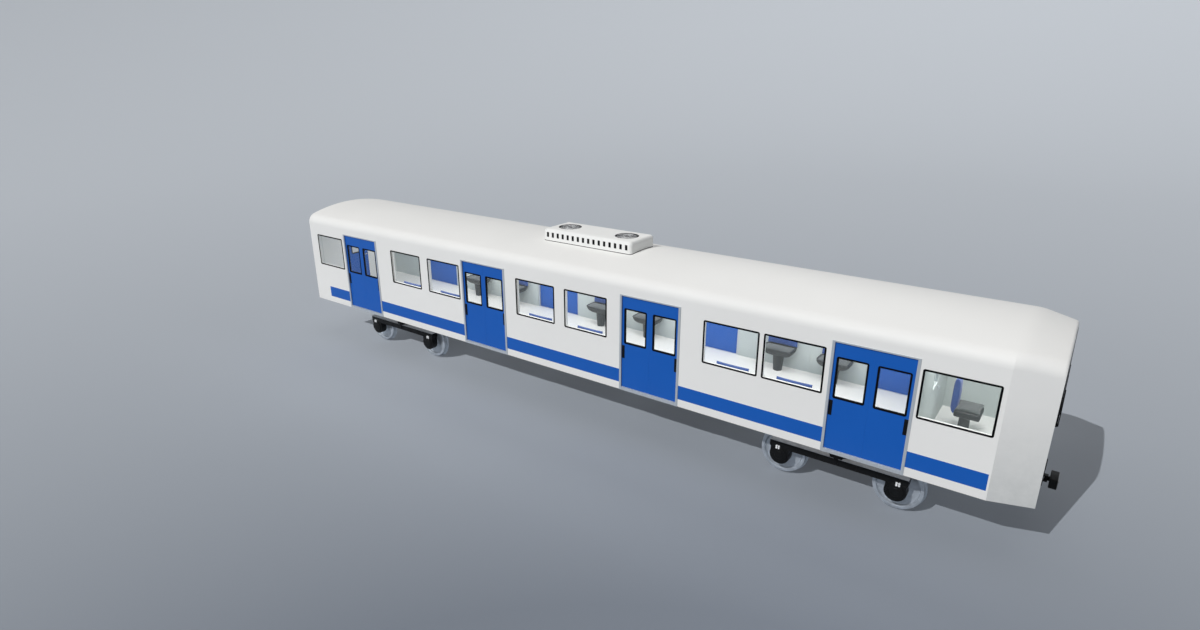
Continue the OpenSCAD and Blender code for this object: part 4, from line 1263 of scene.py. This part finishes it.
def cushion(low, high, up, crown=0.022, pull=0.022, power=6.0):
    """Stuffed pad between two corners, thickest in its middle along one axis.

    Over two directions from -1 to 1, the plan's sides draw in between the corners with the square of
    the distance from them, the thickness falls to a seam as (1 - a^p)(1 - b^p) to a power, and the
    front face swells by a crown that fades to the edges.
    """
    low, high = np.asarray(low, float), np.asarray(high, float)
    middle, half = (low + high) / 2, (high - low) / 2
    first, second = [k for k in range(3) if k != up]
    a = np.sin(np.linspace(-1, 1, 29) * math.pi / 2)[:, None]
    b = np.sin(np.linspace(-1, 1, 29) * math.pi / 2)[None, :]
    fall = ((1 - np.abs(a) ** power) * (1 - np.abs(b) ** power)) ** 0.42
    swell = crown * (1 - a ** 2) * (1 - b ** 2)
    channel = 0.006 * np.exp(-((np.abs(a) - 0.48) / 0.05) ** 2) * (1 - b ** 8)
    sheets = []
    for s in (1, -1):
        points = np.zeros((29, 29, 3))
        points[..., first] = middle[first] + a * (half[first] - pull * (1 - b ** 2) * np.abs(a) ** 3)
        points[..., second] = middle[second] + b * (half[second] - pull * (1 - a ** 2) * np.abs(b) ** 3)
        depth = (half[up] - crown * (s > 0)) * fall + (swell - channel * fall) * (s > 0)
        points[..., up] = middle[up] + s * depth
        sheets.append(grid(points))
    return joined(sheets)


def bucket(centre_x, side_y, low, high, lip=0.022, power=5.0):
    """Scooped seat pan, a bowl with a rolled rim.

    Its outline is a superellipse of the given power. Below, the outline grows from the stem's size
    with the sine of an angle while the height follows one less its cosine. Above the rim the
    outline shrinks again and the height falls in by the lip with the square of what is left.
    """
    half_x, half_y = 0.338, (side_y[1] - side_y[0]) / 2
    angle = np.linspace(0, 2 * math.pi, 72, endpoint=False)
    reach = (np.abs(np.cos(angle)) ** power + np.abs(np.sin(angle)) ** power) ** (-1 / power)
    turn = np.linspace(0, math.pi / 2, 12)
    under = np.stack([0.30 + 0.70 * np.sin(turn) ** 0.8, low + (high - low) * (1 - np.cos(turn))], -1)
    share = np.linspace(1, 0, 10)[1:]
    over = np.stack([0.97 * share, high + 0.004 - lip * (1 - share ** 2)], -1)
    sizes = np.concatenate([[[1e-4, low]], under, [[0.985, high + 0.004]], over])
    sizes[-1, 0] = 1e-4
    points = np.stack(np.broadcast_arrays(
        centre_x + half_x * sizes[:, :1] * reach * np.cos(angle),
        (side_y[0] + side_y[1]) / 2 + half_y * sizes[:, :1] * reach * np.sin(angle),
        sizes[:, 1:]), axis=-1)
    return grid(points, loop_columns=True)


def make_seats():
    """Wall seats: a scooped pan on a tapering stem, with a padded cushion and a padded back."""
    shells, cushions, backs = [], [], []
    frame_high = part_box("seat_frames")[1]
    pad_top = span("seat_pads", 2)[1]
    side_y = (frame_high[1] - 0.430, frame_high[1])
    pan_low, pan_high = frame_high[2] - 0.080, frame_high[2] + 0.085
    for x in seat_x:
        shells.append(bucket(x, side_y, pan_low, pan_high))
        stem = [[0, floor_z], [0.092, floor_z], [0.095, floor_z + 0.006], [0.096, floor_z + 0.060],
                [0.116, pan_low - 0.020], [0.140, pan_low + 0.020], [0, pan_low + 0.020]]
        shells.append(lathe(stem, (x, 1.055, 0), 2, 40))
        cushions.append(cushion((x - 0.318, side_y[0] + 0.012, pan_high - 0.034),
                                (x + 0.318, 1.185, pan_high + 0.024), 2))
        back = cushion((x - 0.325, -1.268, pan_high + 0.006), (x + 0.325, -1.180, pad_top), 1,
                       pull=0.008,
                       power=12.0)
        backs.append(mirrored(back, 1))
    piece("seat_shells", "car_body", [(both_sides(joined(shells)), seat_shell)],
          stands_for=["seat_frames"])
    pads = piece("seat_cushions", "car_body",
                 [(both_sides(joined(cushions)), cushion_cloth)],
                 stands_for=["seat_pads"], sharp=math.radians(70))
    rests = piece("seat_backs", "car_body", [(both_sides(joined(backs)), seat_cloth)],
                  stands_for=["seat_pads"], sharp=math.radians(70))


def make_driver_seat():
    """Driver's seat: a stout pedestal, a moulded pan with a grey pad, and a narrow padded back."""
    low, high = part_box("driver_seat")
    x, y = low[0] + 0.250, (low[1] + high[1]) / 2
    pedestal = [[0, floor_z], [0.094, floor_z], [0.097, floor_z + 0.008], [0.092, floor_z + 0.060],
                [0.088, floor_z + 0.260], [0.120, floor_z + 0.318], [0, floor_z + 0.320]]
    shell = joined([
        lathe(pedestal, (x, y, 0), 2, 40),
        soft_block((x - 0.165, y - 0.230, floor_z + 0.316), (x + 0.250, y + 0.230, floor_z + 0.430),
                   0.026),
    ])
    base = cushion((x - 0.150, y - 0.222, floor_z + 0.410), (x + 0.245, y + 0.222, floor_z + 0.515), 2)
    rest = cushion((x - 0.249, y - 0.130, floor_z + 0.330), (x - 0.120, y + 0.130, high[2]), 0)
    piece("driver_seat_shell", "car_body", [(shell, seat_shell)],
          stands_for=["driver_seat"])
    pads = piece("driver_seat_pads", "car_body",
                 [(base, cushion_cloth), (rest, seat_cloth)],
                 sharp=math.radians(70))


def make_desk():
    """Driver's desk: a soft cabinet with a raised binnacle, two dark panels and a lever."""
    low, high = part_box("driver_desk")
    cabinet = soft_block((low[0], low[1], low[2]), (high[0], high[1], high[2] - 0.020), 0.030)
    top = soft_block((low[0] - 0.0, low[1], high[2] - 0.040), (high[0], high[1], high[2] - 0.004),
                     0.015)
    panels = [soft_block((low[0] + 0.05, y - 0.18, high[2] - 0.006), (low[0] + 0.20, y + 0.18, high[2]),
                         0.003)
              for y in (0.25, 0.66)]
    levers = [lathe([[0, high[2] - 0.010], [0.028, high[2] - 0.010], [0.028, high[2] - 0.001],
                     [0, high[2] - 0.0005]],
                    (low[0] + 0.12, 0.455, 0), 2, 24)]
    piece("desk_cabinet", "car_body",
          [(cabinet, lining_finish), (top, seat_shell), (joined(panels + levers), black_plastic)],
          stands_for=["driver_desk"])


# ---------- stage, light and camera ----------

STAGE_NEAR = (0.198, 0.222, 0.260)
STAGE_FAR = (0.55, 0.582, 0.622)
CAMERA_PLACE = (8.8686, -12.2940, 7.2810)
CAMERA_DOWN, CAMERA_TURN = 19.428, 35.794
CAMERA_LENS, CAMERA_SENSOR = 21.13, 36.0
STAGE_FALL, STAGE_BEND = 1.46, 0.381


def make_stage():
    """Pale floor: a disc that stays flat round the car, then rises as the square of the distance
    beyond, and from a far ring on with the slope that it has there.

    Its colour goes from dark to pale as one less 1.46 t plus 0.381 t squared, where t is the
    camera's height over the distance from the camera's foot, and stays dark where t is over one.
    """
    flat_reach, bend_reach, bend = 40.0, 120.0, 0.003
    radius = np.concatenate([[0.001], np.linspace(1, flat_reach, 20), np.linspace(42, 300, 90)])
    angle = np.linspace(0, 2 * math.pi, 128, endpoint=False)
    curved = np.clip(radius, flat_reach, bend_reach) - flat_reach
    rise = bend * curved ** 2
    rise += 2 * bend * (bend_reach - flat_reach) * np.clip(radius - bend_reach, 0, None)
    points = np.stack(np.broadcast_arrays(
        radius[:, None] * np.cos(angle), radius[:, None] * np.sin(angle), rise[:, None]), axis=-1)
    points, faces = grid(points, loop_columns=True)
    mesh = bpy.data.meshes.new("stage_floor")
    mesh.from_pydata(points.tolist(), [], faces.tolist())
    mesh.shade_smooth()
    made = bpy.data.objects.new("stage_floor", mesh)
    bpy.context.scene.collection.objects.link(made)
    material, tree, surface = new_finish("stage_finish", STAGE_FAR, 0.9)
    surface.inputs["Specular IOR Level"].default_value = 0.1
    place = object_place(tree)
    distance = add(tree, "ShaderNodeVectorMath", operation="DISTANCE")
    distance.inputs[1].default_value = (CAMERA_PLACE[0], CAMERA_PLACE[1], 0.0)
    tree.links.new(place, distance.inputs[0])
    steepness = add(tree, "ShaderNodeMath", operation="DIVIDE")
    steepness.inputs[0].default_value = CAMERA_PLACE[2]
    tree.links.new(distance.outputs["Value"], steepness.inputs[1])
    limited = add(tree, "ShaderNodeMath", operation="MINIMUM")
    limited.inputs[1].default_value = 1.0
    tree.links.new(steepness.outputs["Value"], limited.inputs[0])
    slope = add(tree, "ShaderNodeMath", operation="MULTIPLY_ADD")
    slope.inputs[1].default_value = STAGE_BEND
    slope.inputs[2].default_value = -STAGE_FALL
    tree.links.new(limited.outputs["Value"], slope.inputs[0])
    share = add(tree, "ShaderNodeMath", operation="MULTIPLY_ADD")
    share.inputs[2].default_value = 1.0
    tree.links.new(slope.outputs["Value"], share.inputs[0])
    tree.links.new(limited.outputs["Value"], share.inputs[1])
    tree.links.new(blended(tree, share.outputs["Value"], STAGE_NEAR, STAGE_FAR),
                   surface.inputs["Base Color"])
    mesh.materials.append(material)


def make_lights():
    """A high key light from the left front, shadowless fills on every side, and a weak sky."""
    def sun(name, direction, strength, size, shadows=True):
        lamp = bpy.data.lights.new(name, "SUN")
        lamp.energy = strength
        lamp.angle = math.radians(size)
        lamp.use_shadow = shadows
        holder = bpy.data.objects.new(name, lamp)
        holder.rotation_mode = "QUATERNION"
        toward = np.array(direction, float) / np.linalg.norm(direction)
        holder.rotation_quaternion = Vector(toward).to_track_quat("-Z", "Y")
        bpy.context.scene.collection.objects.link(holder)
    sun("key_light", (0.26, 1.13, -1.0), 2.40, 0.4)
    sun("top_fill", (0.0, 0.0, -1.0), 0.50, 40.0, shadows=False)
    sun("side_fill", (0.6, 1.0, 0.0), 0.25, 40.0, shadows=False)
    sun("back_fill", (0.3, -0.8, -0.6), 0.50, 20.0, shadows=False)
    for k, x in enumerate((-5.5, -1.8, 1.8, 5.2, 7.7)):
        lamp = bpy.data.lights.new(f"saloon_light_{k}", "AREA")
        lamp.shape = "RECTANGLE"
        lamp.size, lamp.size_y = (2.8, 0.9) if k < 4 else (0.8, 0.9)
        lamp.energy = 50.0 if k < 4 else 34.0
        holder = bpy.data.objects.new(lamp.name, lamp)
        holder.location = (x, 0, crown_z - roof_t - 0.10)
        bpy.context.scene.collection.objects.link(holder)
    world = bpy.data.worlds.new("studio_sky")
    bpy.context.scene.world = world
    world.use_nodes = True
    sky = world.node_tree.nodes["Background"]
    sky.inputs["Color"].default_value = (0.97, 0.98, 1.0, 1)
    sky.inputs["Strength"].default_value = 0.12


def make_camera():
    """Camera at the near front corner, looking back along the car from above its roof."""
    data = bpy.data.cameras.new("view_camera")
    data.lens = CAMERA_LENS
    data.sensor_width = CAMERA_SENSOR
    data.clip_end = 500.0
    camera = bpy.data.objects.new("view_camera", data)
    camera.location = CAMERA_PLACE
    camera.rotation_euler = (math.radians(90 - CAMERA_DOWN), 0, math.radians(CAMERA_TURN))
    bpy.context.scene.collection.objects.link(camera)
    bpy.context.scene.camera = camera


make_camera()
bpy.context.scene.view_settings.view_transform = "Standard"
coat_nodes()
make_roof()
make_nose()
make_windscreen()
make_stripe()
make_window_seals()
make_wall_lining()
make_ceiling_lamps()
for side_name in SIDES:
    for door_name in LEAF_NAMES:
        for half_name in ("rear", "front"):
            make_leaf_trim(side_name, door_name, half_name)
rear_door_box, cab_door_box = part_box("rear_end_door"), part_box("cab_door")
make_inner_door_trim("rear_end_door", rear_door_box[0][0], rear_door_box[1][0], black_rubber)
make_inner_door_trim("cab_door", cab_door_box[0][0], cab_door_box[1][0], lining_finish)
make_roof_unit()
make_fan("rear", unit_mid - fan_half)
make_fan("front", unit_mid + fan_half)
make_fan_guards()
for end_name in ("front", "rear"):
    make_bogie(end_name)
    make_air_springs(end_name)
    make_motors(end_name)
    make_wheelset(f"{end_name}_bogie_lead_axle")
    make_wheelset(f"{end_name}_bogie_trail_axle")
    make_coupler(end_name)
make_cases()
make_lamps()
make_wiper()
make_seats()
make_driver_seat()
make_desk()
make_stage()
make_lights()
